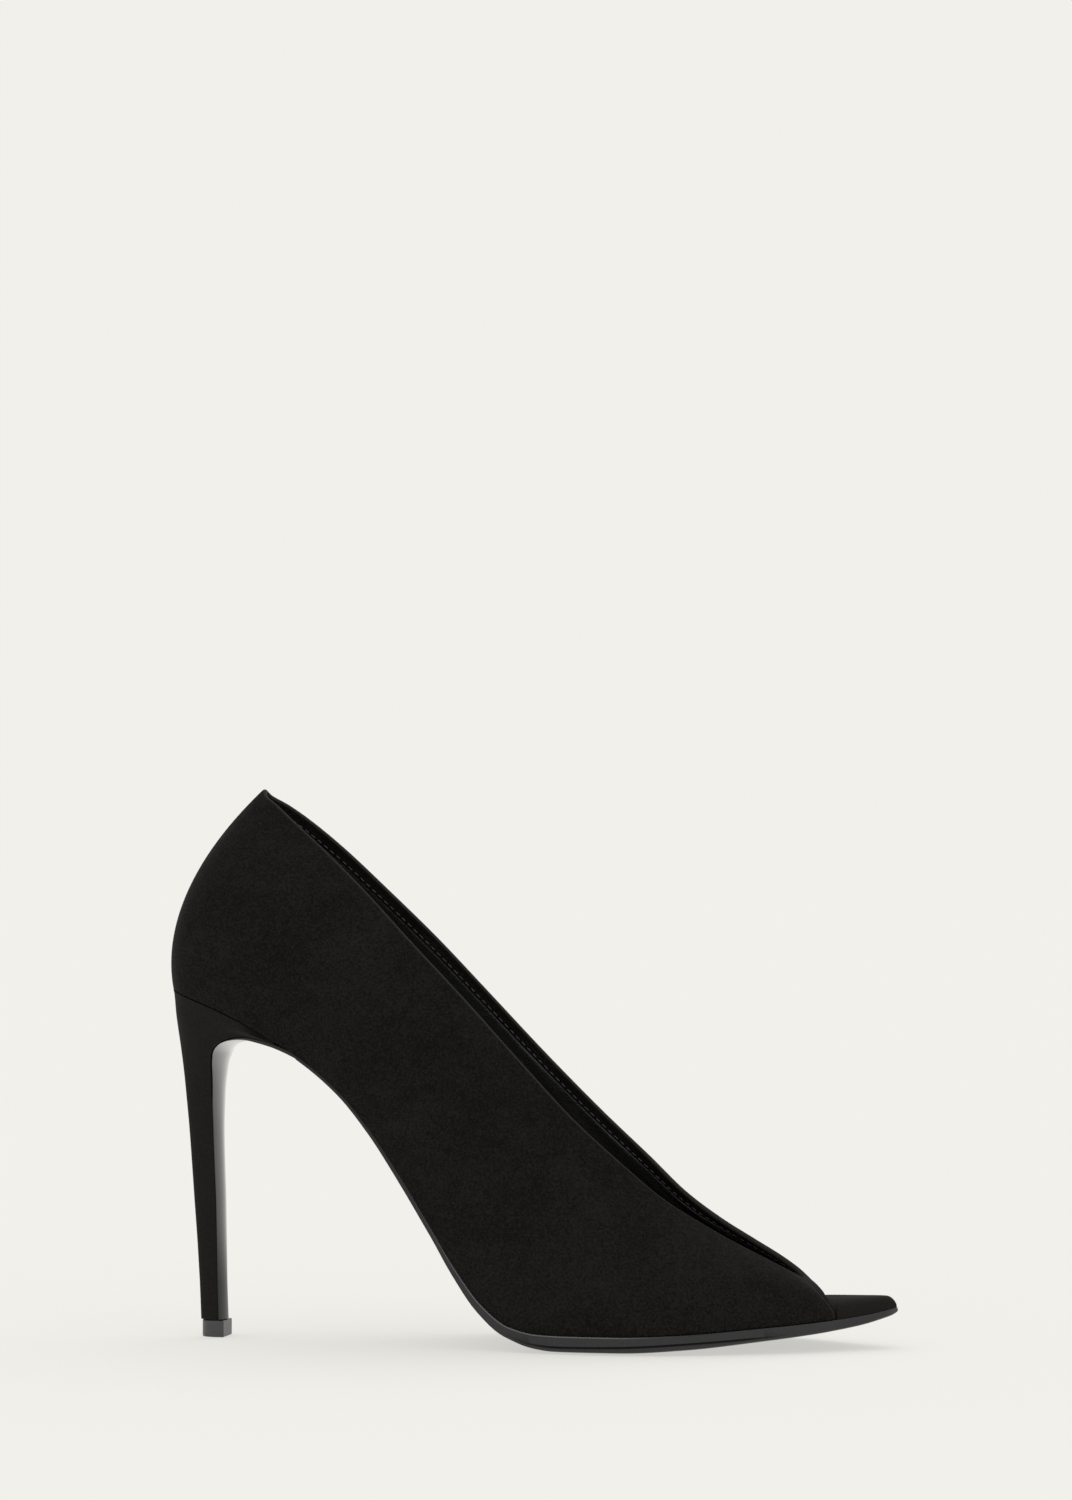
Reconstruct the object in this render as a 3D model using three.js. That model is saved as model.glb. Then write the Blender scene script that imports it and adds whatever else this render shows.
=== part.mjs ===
// Peep toe pump, right shoe, in millimetres.
// +X runs to the toe, -Y is the outer side of the foot, +Z is up.
// The tables are laid out from the back of the counter (X = 0) and the floor (Z = 0).
// At the end the group is moved so that its origin is the middle of its footprint.
import * as THREE from "three";

// Driving sizes
const LENGTH = 231; // back of the counter to the tip of the toe bed
const BALL_WIDTH = 77; // across the joints of the foot
const HEEL_HEIGHT = 110.5; // floor to the back of the heel seat
const BACK_RISE = 62; // heel seat to the top of the counter
const INSTEP_RISE = 63; // sole to the topline at its highest, over the instep
const TOE_SPRING = 7; // rise of the sole from the ball to the tip
const PEEP_RISE = 8.2; // height of the peep opening over the sole
const WALL = 1.8; // suede and lining together
const CLEARANCE = 0.3; // between pieces that rest on each other
const SOLE_THICKNESS = 5.3; // outsole at the ball
const FLAP_THICKNESS = 1.4; // outsole where it runs down the front of the heel
const SOLE_STAND = 0.8; // outsole past the upper, around the forefoot
const WAIST_INSET = 4; // outsole inside the upper, under the arch
const INSOLE_THICKNESS = 3; // board and sock, heel to ball
const TOE_BED_THICKNESS = 5.6; // suede-covered board under the peep
const TOE_BED_INSET = 0.6; // toe bed inside the edge of the outsole
const TOP_PIECE_HEIGHT = 5.2;
const TOP_PIECE_LENGTH = 8;
const TOP_PIECE_WIDTH = 10.4;
const TOP_PIECE_STAND = 0.35; // top piece past the heel, all round

// Colours, all near black
const SUEDE = { color: 0x1c1a19, roughness: 0.95, metalness: 0 };
const SOLE_LEATHER = { color: 0x2a2a2b, roughness: 0.35, metalness: 0 };
const SOCK = { color: 0x121110, roughness: 0.5, metalness: 0 };
const RUBBER = { color: 0x38383a, roughness: 0.6, metalness: 0 };

// How fine each surface is cut
const COLUMNS_PER_RIB = 3;
const RIB_STEPS = 9;
const SOLE_STATIONS = 66;
const INSOLE_STATIONS = 64;
const HEEL_RING = 22;

function table(columns, rows) {
  return rows.map((row) => Object.fromEntries(columns.map((name, i) => [name, row[i]])));
}

// Bed line: the surface that upper and insole stand on, from heel to toe.
// along = share of LENGTH, arch = share of the drop from heel seat to ball,
// spring = share of TOE_SPRING.
const BED = table(["along", "arch", "spring"], [
  [0.0, 1.0, 0],
  [0.088, 0.933, 0],
  [0.187, 0.817, 0],
  [0.258, 0.693, 0],
  [0.302, 0.578, 0],
  [0.346, 0.438, 0],
  [0.392, 0.283, 0],
  [0.424, 0.177, 0],
  [0.462, 0.077, 0],
  [0.5, 0.02, 0],
  [0.54, 0.002, 0],
  [0.576, 0, 0],
  [0.65, 0, 0],
  [0.736, 0, 0.11],
  [0.823, 0, 0.32],
  [0.91, 0, 0.54],
  [0.953, 0, 0.71],
  [1.0, 0, 1.0],
]);

// Upper: one row for each rib, from the back of the heel to the middle of the peep.
// foot = where the rib starts on the bed line, share of LENGTH; skew = how far the inner rib
// starts behind the outer one; lift = height over the bed line, share of PEEP_RISE;
// outer, inner = distance from the middle on either side, share of BALL_WIDTH.
const UPPER_FOOT = table(["foot", "skew", "lift", "outer", "inner"], [
  [0.005, 0, 0, 0.0, 0.0],
  [0.012, 0, 0, 0.112, 0.112],
  [0.028, 0, 0, 0.2, 0.2],
  [0.055, 0, 0, 0.263, 0.263],
  [0.098, 0, 0, 0.305, 0.305],
  [0.158, 0, 0, 0.325, 0.322],
  [0.234, 0, 0, 0.32, 0.302],
  [0.32, 0, 0, 0.323, 0.29],
  [0.41, 0, 0, 0.368, 0.318],
  [0.498, 0, 0, 0.438, 0.395],
  [0.58, 0, 0, 0.487, 0.462],
  [0.658, 0, 0, 0.492, 0.5],
  [0.736, 0, 0, 0.45, 0.483],
  [0.805, 0, 0, 0.372, 0.418],
  [0.861, 0.004, 0, 0.284, 0.345],
  [0.9, 0.026, 0, 0.208, 0.315],
  [0.921, 0.032, 0, 0.152, 0.288],
  [0.914, 0.033, 0.45, 0.136, 0.247],
  [0.9035, 0.0205, 0.84, 0.088, 0.175],
  [0.893, 0, 1.0, -0.026, 0.026],
]);

// The same ribs at their upper end, on the topline.
// top = share of LENGTH; skew = as above; outer, inner = share of BALL_WIDTH;
// rise = share of BACK_RISE at the heel and of INSTEP_RISE further on.
const UPPER_TOP = table(["top", "skew", "outer", "inner", "rise"], [
  [0.1305, 0, 0.0, 0.0, 1.0],
  [0.136, -0.001, 0.05, 0.05, 0.985],
  [0.155, -0.003, 0.095, 0.095, 0.957],
  [0.185, -0.004, 0.145, 0.145, 0.9],
  [0.229, -0.001, 0.195, 0.195, 0.826],
  [0.286, 0.003, 0.24, 0.245, 0.745],
  [0.355, 0.002, 0.273, 0.28, 0.68],
  [0.43, 0.0087, 0.295, 0.3, 0.775],
  [0.507, 0.0025, 0.312, 0.315, 0.952],
  [0.58, -0.0025, 0.318, 0.32, 1.0],
  [0.645, -0.001, 0.308, 0.315, 0.822],
  [0.701, 0.001, 0.26, 0.27, 0.645],
  [0.753, 0.004, 0.217, 0.237, 0.508],
  [0.8, 0.0055, 0.19, 0.215, 0.392],
  [0.839, 0.007, 0.158, 0.19, 0.3],
  [0.865, 0.006, 0.115, 0.155, 0.232],
  [0.876, 0.006, 0.062, 0.112, 0.196],
  [0.8785, 0.005, 0.036, 0.088, 0.192],
  [0.8798, 0.003, 0.006, 0.058, 0.189],
  [0.8805, 0, -0.026, 0.026, 0.188],
]);

// The same ribs between their ends, as the two handles of a cubic curve.
// swell, up = lower handle: out in share of BALL_WIDTH, up in share of the rib's height;
// bulge, down, lean = upper handle: out in share of BALL_WIDTH, down in share of the rib's
// height and back in share of its level run.
const UPPER_CURVE = table(["swell", "up", "bulge", "down", "lean"], [
  [0.055, 0.39, 0.0, 0.25, 0.59],
  [0.055, 0.38, 0.005, 0.25, 0.59],
  [0.055, 0.37, 0.015, 0.26, 0.57],
  [0.055, 0.36, 0.028, 0.27, 0.54],
  [0.056, 0.36, 0.042, 0.28, 0.5],
  [0.06, 0.36, 0.055, 0.3, 0.46],
  [0.062, 0.36, 0.062, 0.32, 0.42],
  [0.06, 0.36, 0.068, 0.32, 0.4],
  [0.055, 0.36, 0.075, 0.32, 0.36],
  [0.05, 0.36, 0.085, 0.32, 0.3],
  [0.045, 0.37, 0.095, 0.3, 0.25],
  [0.04, 0.4, 0.11, 0.26, 0.2],
  [0.035, 0.43, 0.11, 0.23, 0.1],
  [0.03, 0.45, 0.1, 0.2, 0.0],
  [0.024, 0.46, 0.075, 0.18, 0.0],
  [0.018, 0.46, 0.05, 0.18, 0.1],
  [0.012, 0.4, 0.03, 0.22, 0.2],
  [0.01, 0.36, 0.022, 0.24, 0.25],
  [0.006, 0.35, 0.012, 0.28, 0.3],
  [0.003, 0.33, 0.006, 0.33, 0.33],
]);

// Outsole past the peep, where sole and toe bed run on to a point.
// foot = share of LENGTH; outer, inner = distance from the middle, share of BALL_WIDTH.
const TOE = table(["foot", "outer", "inner"], [
  [0.944, 0.112, 0.18],
  [0.966, 0.062, 0.142],
  [0.984, 0.012, 0.104],
  [0.996, -0.032, 0.072],
]);

// Thickness of the outsole along the bed, share of SOLE_THICKNESS
const SOLE = table(["along", "thick"], [
  [0.17, 0.265],
  [0.346, 0.29],
  [0.39, 0.29],
  [0.424, 0.37],
  [0.462, 0.5],
  [0.5, 0.68],
  [0.53, 0.88],
  [0.56, 1.0],
  [0.65, 1.0],
  [0.73, 0.92],
  [0.82, 0.79],
  [0.9, 0.63],
  [0.95, 0.46],
  [1.0, 0.19],
]);

// Where the outsole lies against the heel, from the arch down to the top piece.
// along = share of LENGTH, high = share of HEEL_HEIGHT, half = half width as a share of
// BALL_WIDTH; back, backHigh = the heel's back edge at the same section.
const BREAST = table(["along", "high", "half", "back", "backHigh"], [
  [0.167, 0.8378, 0.256, 0.0088, 0.982],
  [0.149, 0.8487, 0.247, 0.0091, 0.968],
  [0.117, 0.8588, 0.236, 0.0098, 0.952],
  [0.0866, 0.847, 0.217, 0.0109, 0.93],
  [0.071, 0.824, 0.193, 0.0126, 0.896],
  [0.0645, 0.791, 0.166, 0.0148, 0.85],
  [0.0619, 0.743, 0.134, 0.0174, 0.79],
  [0.061, 0.706, 0.115, 0.0194, 0.74],
  [0.0606, 0.668, 0.103, 0.0214, 0.69],
  [0.0606, 0.588, 0.084, 0.0252, 0.6],
  [0.0619, 0.489, 0.079, 0.029, 0.495],
  [0.0636, 0.389, 0.075, 0.0325, 0.392],
  [0.0654, 0.271, 0.0715, 0.0368, 0.272],
  [0.0671, 0.154, 0.069, 0.0403, 0.154],
]);

// Thickness of insole and toe bed over the bed line: heel = share of INSOLE_THICKNESS,
// toe = share of TOE_BED_THICKNESS, added together
const BED_COVER = table(["along", "heel", "toe"], [
  [0.0, 1, 0],
  [0.55, 1, 0],
  [0.8, 0.35, 0.6],
  [0.89, 0, 0.96],
  [0.92, 0, 0.9],
  [0.957, 0, 0.76],
  [0.983, 0, 0.57],
  [1.0, 0, 0.36],
]);

// Curve through the rows of a table: slopes are those of the neighbours, flattened where
// the rows stop rising or falling, so that it never swings past a row.
function curveThrough(rows, from, to) {
  const xs = rows.map((row) => row[from]);
  const ys = rows.map((row) => row[to]);
  const last = xs.length - 1;
  const steps = xs.slice(1).map((x, i) => (ys[i + 1] - ys[i]) / (x - xs[i]));
  const slopes = xs.map((_, i) => {
    if (i === 0) return steps[0];
    if (i === last) return steps[last - 1];
    const before = steps[i - 1];
    const after = steps[i];
    if (before * after <= 0) return 0;
    const share = (xs[i + 1] - xs[i]) / (xs[i + 1] - xs[i - 1]);
    return 3 / ((1 + share) / before + (2 - share) / after);
  });
  return (x) => {
    const held = THREE.MathUtils.clamp(x, xs[0], xs[last]);
    let i = 0;
    while (i < last - 1 && held > xs[i + 1]) i += 1;
    const width = xs[i + 1] - xs[i];
    const t = (held - xs[i]) / width;
    const level = (1 + 2 * t) * (1 - t) ** 2 * ys[i] + t * t * (3 - 2 * t) * ys[i + 1];
    return level + width * (t * (1 - t) ** 2 * slopes[i] - t * t * (1 - t) * slopes[i + 1]);
  };
}

function mix(a, b, share) {
  return THREE.MathUtils.lerp(a, b, share);
}

function eased(value, from, to) {
  return THREE.MathUtils.smoothstep(value, from, to);
}

const archShare = curveThrough(BED, "along", "arch");
const springShare = curveThrough(BED, "along", "spring");
const bedAtBall = SOLE_THICKNESS + CLEARANCE;

// Height of the bed line over the floor
function bedHeight(x) {
  const share = x / LENGTH;
  const arch = archShare(share) * (HEEL_HEIGHT - bedAtBall);
  return bedAtBall + arch + springShare(share) * TOE_SPRING;
}

// Point at a depth below the bed line, square to it
function underBed(x, depth) {
  const step = 0.5;
  const slope = (bedHeight(x + step) - bedHeight(x - step)) / (2 * step);
  const size = Math.hypot(1, slope);
  return [x + (slope / size) * depth, bedHeight(x) - depth / size];
}

// Triangles gathered as point triples, then merged into one closed mesh
class Body {
  constructor() {
    this.points = [];
    this.found = new Map();
    this.faces = [];
  }

  index(point) {
    const key = point.map((value) => Math.round(value * 1e4)).join(",");
    if (!this.found.has(key)) {
      this.found.set(key, this.points.length);
      this.points.push(point);
    }
    return this.found.get(key);
  }

  triangle(a, b, c) {
    const [i, j, k] = [a, b, c].map((point) => this.index(point));
    if (i !== j && j !== k && k !== i) this.faces.push([i, j, k]);
  }

  quad(a, b, c, d) {
    this.triangle(a, b, c);
    this.triangle(a, c, d);
  }

  // Skin between neighbouring rings of points; every ring is closed
  skin(rings, closed = false) {
    const count = rings.length;
    const size = rings[0].length;
    for (let i = 0; i < (closed ? count : count - 1); i += 1) {
      const here = rings[i];
      const next = rings[(i + 1) % count];
      for (let j = 0; j < size; j += 1) {
        const k = (j + 1) % size;
        this.quad(here[j], here[k], next[k], next[j]);
      }
    }
  }

  // Lid of triangles from the ring's first point
  fan(ring, turned) {
    for (let j = 1; j < ring.length - 1; j += 1) {
      if (turned) this.triangle(ring[0], ring[j + 1], ring[j]);
      else this.triangle(ring[0], ring[j], ring[j + 1]);
    }
  }

  // Lid of strips between the ring's two sides
  lid(ring, turned) {
    const size = ring.length;
    for (let j = 0; j < Math.floor(size / 2) - 1 + (size % 2); j += 1) {
      const strip = [ring[j], ring[j + 1], ring[size - 2 - j], ring[size - 1 - j]];
      this.quad(...(turned ? strip.reverse() : strip));
    }
  }

  mesh(name, look) {
    const geometry = new THREE.BufferGeometry();
    geometry.setAttribute("position", new THREE.Float32BufferAttribute(this.points.flat(), 3));
    let volume = 0;
    for (const face of this.faces) {
      const [a, b, c] = face.map((n) => new THREE.Vector3(...this.points[n]));
      volume += a.dot(b.cross(c)) / 6;
    }
    const faces = volume > 0 ? this.faces : this.faces.map(([i, j, k]) => [i, k, j]);
    geometry.setIndex(faces.flat());
    geometry.computeVertexNormals();
    const made = new THREE.Mesh(geometry, new THREE.MeshStandardMaterial(look));
    made.name = name;
    return made;
  }
}

// Upper
// The ribs run from the heel round the outer side to the peep and back on the inner side.
function ribOn(side, i) {
  const foot = UPPER_FOOT[i];
  const top = UPPER_TOP[i];
  const name = side < 0 ? "outer" : "inner";
  const behind = side < 0 ? 0 : 1;
  const footX = (foot.foot - foot.skew * behind) * LENGTH;
  const topX = (top.top - top.skew * behind) * LENGTH;
  const bed = bedHeight(footX);
  const wall = mix(BACK_RISE, INSTEP_RISE, eased(foot.foot, 0.1, 0.5));
  return {
    ...UPPER_CURVE[i],
    foot: new THREE.Vector3(footX, side * foot[name] * BALL_WIDTH, bed + foot.lift * PEEP_RISE),
    top: new THREE.Vector3(topX, side * top[name] * BALL_WIDTH, bed + top.rise * wall),
  };
}

const middleRow = UPPER_FOOT.length - 1;
const cornerRow = UPPER_FOOT.findIndex((row) => row.lift > 0) - 1;
const ribs = [
  ...UPPER_FOOT.map((_, i) => ribOn(-1, i)),
  ...UPPER_FOOT.slice(1, -1).map((_, i) => ribOn(1, middleRow - 1 - i)),
];

// Level direction away from the foot
function outward(i) {
  const before = ribs.at(i - 1).foot;
  const after = ribs[(i + 1) % ribs.length].foot;
  const along = after.clone().sub(before).setZ(0).normalize();
  return new THREE.Vector3(along.y, -along.x, 0);
}

function closedCurve(pointOf) {
  return new THREE.CatmullRomCurve3(ribs.map(pointOf), true, "centripetal");
}

const footLine = closedCurve((rib) => rib.foot);
const topLine = closedCurve((rib) => rib.top);

const lowHandles = closedCurve((rib, i) => {
  const rise = new THREE.Vector3(0, 0, rib.up * (rib.top.z - rib.foot.z));
  return rib.foot.clone().addScaledVector(outward(i), rib.swell * BALL_WIDTH).add(rise);
});

const highHandles = closedCurve((rib, i) => {
  const run = rib.top.clone().sub(rib.foot);
  const back = new THREE.Vector3(run.x * rib.lean, run.y * rib.lean, run.z * rib.down);
  return rib.top.clone().addScaledVector(outward(i), rib.bulge * BALL_WIDTH).sub(back);
});

// Outer surface of the upper: around = 0 to 1 along the ribs, up = 0 at the sole to 1
function upperSurface(around, up) {
  const t = THREE.MathUtils.euclideanModulo(around, 1);
  const corners = [footLine, lowHandles, highHandles, topLine].map((line) => line.getPoint(t));
  return new THREE.CubicBezierCurve3(...corners).getPoint(up);
}

function upperNormal(around, up) {
  const step = 0.002;
  const low = Math.max(up - step * 5, 0);
  const high = Math.min(up + step * 5, 1);
  const along = upperSurface(around + step, up).sub(upperSurface(around - step, up));
  const rising = upperSurface(around, high).sub(upperSurface(around, low));
  return along.cross(rising).normalize();
}

function makeUpper() {
  const body = new Body();
  const columns = ribs.length * COLUMNS_PER_RIB;
  const rings = [];
  for (let i = 0; i < columns; i += 1) {
    const around = i / columns;
    const overPeep = Math.abs(around * ribs.length - middleRow) < middleRow - cornerRow - 1.4;
    const outer = [];
    const inner = [];
    for (let j = 0; j <= RIB_STEPS; j += 1) {
      const up = j / RIB_STEPS;
      const point = upperSurface(around, up);
      const within = point.clone().addScaledVector(upperNormal(around, up), -WALL);
      if (j === 0 && !overPeep) {
        point.z = bedHeight(point.x);
        within.z = bedHeight(within.x);
      }
      outer.push(point.toArray());
      inner.unshift(within.toArray());
    }
    rings.push([...outer, ...inner]);
  }
  body.skin(rings, true);
  return body.mesh("upper", SUEDE);
}

// Foot line in plan
// Its points along one side, from the heel to the peep's corner, and the same line drawn
// inside the wall
const SAMPLES_PER_RIB = 12;
const INSIDE = WALL + CLEARANCE * 1.6;
const footSamples = footLine.getPoints(ribs.length * SAMPLES_PER_RIB).slice(0, -1);
const insideSamples = footSamples.map((point, i) => {
  const after = footSamples[(i + 1) % footSamples.length];
  const along = after.clone().sub(footSamples.at(i - 1)).setZ(0).normalize();
  return new THREE.Vector3(point.x - along.y * INSIDE, point.y + along.x * INSIDE, point.z);
});

function peepCorner(side) {
  return ribOn(side, cornerRow).foot.x;
}

// Distance of such a line from the middle, for a side and a length along the foot
function halfOf(samples, side, x) {
  const reach = cornerRow * SAMPLES_PER_RIB + 1;
  const points = side < 0 ? samples.slice(1, reach) : samples.slice(1 - reach).reverse();
  const after = points.findIndex((point) => point.x >= x);
  if (after < 0) return Math.abs(points.at(-1).y);
  if (after === 0) return Math.abs(points[0].y);
  const before = points[after - 1];
  const share = (x - before.x) / (points[after].x - before.x);
  return mix(Math.abs(before.y), Math.abs(points[after].y), share);
}

function footHalf(side, x) {
  return halfOf(footSamples, side, x);
}

// Outsole
// Its edge follows the foot line with a margin and runs on to the tip.
const TIP = TOE.at(-1).foot * LENGTH;
const BEFORE_CORNER = [10, 4, 0]; // where the toe's edge picks up the foot line

function soleMargin(x) {
  return mix(-WAIST_INSET, SOLE_STAND, eased(x / LENGTH, 0.2, 0.5));
}

function toeEdge(side) {
  const name = side < 0 ? "outer" : "inner";
  const rows = TOE.map((row) => ({ x: row.foot * LENGTH, half: row[name] * BALL_WIDTH }));
  const joins = BEFORE_CORNER.map((before) => {
    const x = peepCorner(side) - before;
    return { x, half: footHalf(side, x) + soleMargin(x) };
  });
  return curveThrough([...joins, ...rows], "x", "half");
}

const toeEdges = { outer: toeEdge(-1), inner: toeEdge(1) };

function soleEdge(side, x) {
  if (x < peepCorner(side) - BEFORE_CORNER[1]) return footHalf(side, x) + soleMargin(x);
  return side < 0 ? toeEdges.outer(x) : toeEdges.inner(x);
}

// Path of the outsole's upper face: below the bed to the arch, then down the heel's front
const ARCH_END = 0.2 * LENGTH;
const BED_STATIONS = Math.round(SOLE_STATIONS * 0.7);
const TOWARDS_TIP = 1.15; // how much closer the stations stand near the tip
const soleShare = curveThrough(SOLE, "along", "thick");
const breastHalf = curveThrough(
  BREAST.map((row, i) => ({ step: i, half: row.half * BALL_WIDTH })), "step", "half");

function atHeel(alongName, highName) {
  return (row) => new THREE.Vector3(row[alongName] * LENGTH, 0, row[highName] * HEEL_HEIGHT);
}

function bedStations() {
  const stations = [];
  for (let i = 0; i <= BED_STATIONS; i += 1) {
    const turn = (i / BED_STATIONS) * (Math.PI / 2);
    const along = mix(ARCH_END, TIP, Math.cos(turn) ** TOWARDS_TIP);
    const [x, z] = underBed(along, CLEARANCE);
    const thick = soleShare(along / LENGTH) * SOLE_THICKNESS;
    stations.push({ x, z, outer: soleEdge(-1, along), inner: soleEdge(1, along), thick });
  }
  return stations.sort((a, b) => b.x - a.x);
}

function breastStations(lastTwo) {
  const foot = BREAST.at(-1);
  const bend = new THREE.CatmullRomCurve3([
    ...lastTwo.map((station) => new THREE.Vector3(station.x, 0, station.z)),
    ...BREAST.map(atHeel("along", "high")),
    new THREE.Vector3(foot.along * LENGTH + 0.4, 0, TOP_PIECE_HEIGHT + CLEARANCE),
  ], false, "centripetal");
  const spans = BREAST.length + 2;
  const count = SOLE_STATIONS - BED_STATIONS;
  const waist = lastTwo[1];
  const stations = [];
  for (let i = 1; i <= count; i += 1) {
    const reach = mix(1, spans, i / count);
    const { x, z } = bend.getPoint(reach / spans);
    const half = breastHalf(reach - 2);
    const joined = Math.min(reach - 1, 1);
    const outer = mix(waist.outer, half, joined);
    const inner = mix(waist.inner, half, joined);
    stations.push({ x, z, outer, inner, thick: FLAP_THICKNESS });
  }
  return stations;
}

// Direction square to the path, towards the ground
function squareTo(path, i) {
  const before = path[Math.max(i - 1, 0)];
  const after = path[Math.min(i + 1, path.length - 1)];
  const dx = after.x - before.x;
  const dz = after.z - before.z;
  const size = Math.hypot(dx, dz);
  return [-dz / size, dx / size];
}

function makeOutsole() {
  const body = new Body();
  const along = bedStations();
  const path = [...along, ...breastStations(along.slice(-2))];
  const roundedEdge = table(["side", "depth"], [[1, 0.72], [0.955, 0.86], [0.85, 0.97], [0.62, 1]]);
  const rings = path.map((station, i) => {
    const [nx, nz] = squareTo(path, i);
    const middle = (station.inner - station.outer) / 2;
    const half = (station.inner + station.outer) / 2;
    const place = (side, depth) => {
      const down = depth * station.thick;
      return [station.x + nx * down, middle + side * half, station.z + nz * down];
    };
    const top = [1, 0.5, -0.5, -1].map((side) => place(side, 0));
    const outer = roundedEdge.map(({ side, depth }) => place(-side, depth));
    const inner = roundedEdge.map(({ side, depth }) => place(side, depth));
    return [...top, ...outer, ...inner.reverse()];
  });
  body.skin(rings);
  body.fan(rings[0], true);
  body.fan(rings.at(-1), false);
  return body.mesh("outsole", SOLE_LEATHER);
}

// Insole and toe bed
// Beside the peep the upper wraps over the bed: there the bed's edges draw in.
const TUCK = { outer: 2.4, inner: 5.6 }; // how far the whole edge draws in
const TUCK_TOP = 3.6; // how much further the upper edge does
const LEAST_HALF = 0.8;
const heelCover = curveThrough(BED_COVER, "along", "heel");
const toeCover = curveThrough(BED_COVER, "along", "toe");

// Share of the way past the peep's corner, where the bed opens to the sole's full width
function opened(side, x) {
  return eased(x - peepCorner(side), 0.6, 2.6);
}

function tucked(side, x) {
  return eased(x - peepCorner(side), -16, -5) * (1 - opened(side, x));
}

function insoleEdge(side, x) {
  const inside = Math.min(halfOf(insideSamples, side, x), footHalf(side, x) - INSIDE);
  const free = soleEdge(side, x) - TOE_BED_INSET;
  const tuck = tucked(side, x) * (side < 0 ? TUCK.outer : TUCK.inner);
  return mix(inside - tuck, free, opened(side, x));
}

function makeInsole() {
  const body = new Body();
  const start = UPPER_FOOT[0].foot * LENGTH + INSIDE + CLEARANCE;
  const end = TIP - TOE_BED_INSET;
  const rings = [];
  for (let i = 0; i <= INSOLE_STATIONS; i += 1) {
    const x = mix(start, end, (1 - Math.cos((i / INSOLE_STATIONS) * Math.PI)) / 2);
    const heel = heelCover(x / LENGTH) * INSOLE_THICKNESS;
    const height = heel + toeCover(x / LENGTH) * TOE_BED_THICKNESS;
    const low = bedHeight(x);
    const inner = Math.max(insoleEdge(1, x), LEAST_HALF);
    const outer = Math.min(-insoleEdge(-1, x), inner - LEAST_HALF * 2);
    const width = inner - outer;
    const edge = (side) => {
      const tuck = tucked(side, x);
      const from = side < 0 ? outer : inner;
      const shoulder = Math.min(0.5 + tuck * TUCK_TOP * 0.6, width * 0.2);
      const rim = Math.min(1.2 + tuck * TUCK_TOP, width * 0.4);
      return [
        [x, from, low],
        [x, from, low + height * mix(0.7, 0.25, tuck)],
        [x, from - side * shoulder, low + height * mix(0.92, 0.8, tuck)],
        [x, from - side * rim, low + height],
      ];
    };
    const crown = [x, (outer + inner) / 2, low + height];
    rings.push([...edge(-1), crown, ...edge(1).reverse()]);
  }
  body.skin(rings);
  body.fan(rings[0], true);
  body.fan(rings.at(-1), false);
  return body.mesh("insole", SOCK);
}

// Heel
// Section: round at the back, straight at the front. crowded = how much closer its points
// stand at the back.
const ROUNDNESS = 2.9;
const CROWDED = 1.9;
const GAP_BEHIND_FLAP = CLEARANCE * 1.3;

function aroundHeel(place) {
  const ring = [];
  for (let j = 0; j <= HEEL_RING; j += 1) {
    const turn = (j / HEEL_RING) * 2 - 1;
    ring.push(place(Math.sign(turn), Math.abs(turn) ** CROWDED));
  }
  return ring;
}

function heelSection(back, front, half) {
  return aroundHeel((side, share) => {
    const y = side * half * Math.sqrt(1 - (1 - share) ** ROUNDNESS);
    return [mix(back.x, front.x, share), y, mix(back.z, front.z, share)];
  });
}

// The seat lies against the upper, along its foot line
function heelSeat() {
  const back = UPPER_FOOT[0].foot * LENGTH + 0.6;
  const front = BREAST[0].along * LENGTH - 1.2;
  return aroundHeel((side, share) => {
    const x = mix(back, front, share);
    const half = side === 0 ? 0 : footHalf(side, x);
    return [x, side * half, bedHeight(x) - CLEARANCE * 1.15];
  });
}

function makeHeel() {
  const body = new Body();
  const front = new THREE.CatmullRomCurve3(BREAST.map(atHeel("along", "high")), false, "centripetal");
  const rear = new THREE.CatmullRomCurve3(BREAST.map(atHeel("back", "backHigh")), false, "centripetal");
  const rings = [heelSeat()];
  const last = BREAST.length - 1;
  const sections = last * 2;
  for (let k = 0; k <= sections; k += 1) {
    const t = k / sections;
    const slant = front.getTangent(t);
    const against = front.getPoint(t);
    against.x += slant.z * GAP_BEHIND_FLAP;
    against.z -= slant.x * GAP_BEHIND_FLAP;
    rings.push(heelSection(rear.getPoint(t), against, breastHalf(t * last)));
  }
  const foot = BREAST.at(-1);
  const base = TOP_PIECE_HEIGHT + CLEARANCE;
  rings.push(heelSection(
    new THREE.Vector3(foot.back * LENGTH + 0.45, 0, base),
    new THREE.Vector3(foot.along * LENGTH - GAP_BEHIND_FLAP + 0.3, 0, base),
    TOP_PIECE_WIDTH / 2 - TOP_PIECE_STAND));
  body.skin(rings);
  body.lid(rings[0], true);
  body.lid(rings.at(-1), false);
  return body.mesh("heel", SUEDE);
}

// Top piece: the wear tip, its outline the heel's with a small step out
function makeTopPiece() {
  const body = new Body();
  const rear = BREAST.at(-1).back * LENGTH + 0.9;
  const rounding = 0.25;
  const outline = (z, grow) => heelSection(
    new THREE.Vector3(rear - grow, 0, z),
    new THREE.Vector3(rear + TOP_PIECE_LENGTH + grow, 0, z),
    TOP_PIECE_WIDTH / 2 + grow);
  const rings = [
    outline(0, -rounding),
    outline(rounding, 0),
    outline(TOP_PIECE_HEIGHT - rounding, 0),
    outline(TOP_PIECE_HEIGHT, -rounding),
  ];
  body.skin(rings);
  body.lid(rings[0], true);
  body.lid(rings.at(-1), false);
  return body.mesh("top_piece", RUBBER);
}

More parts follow.
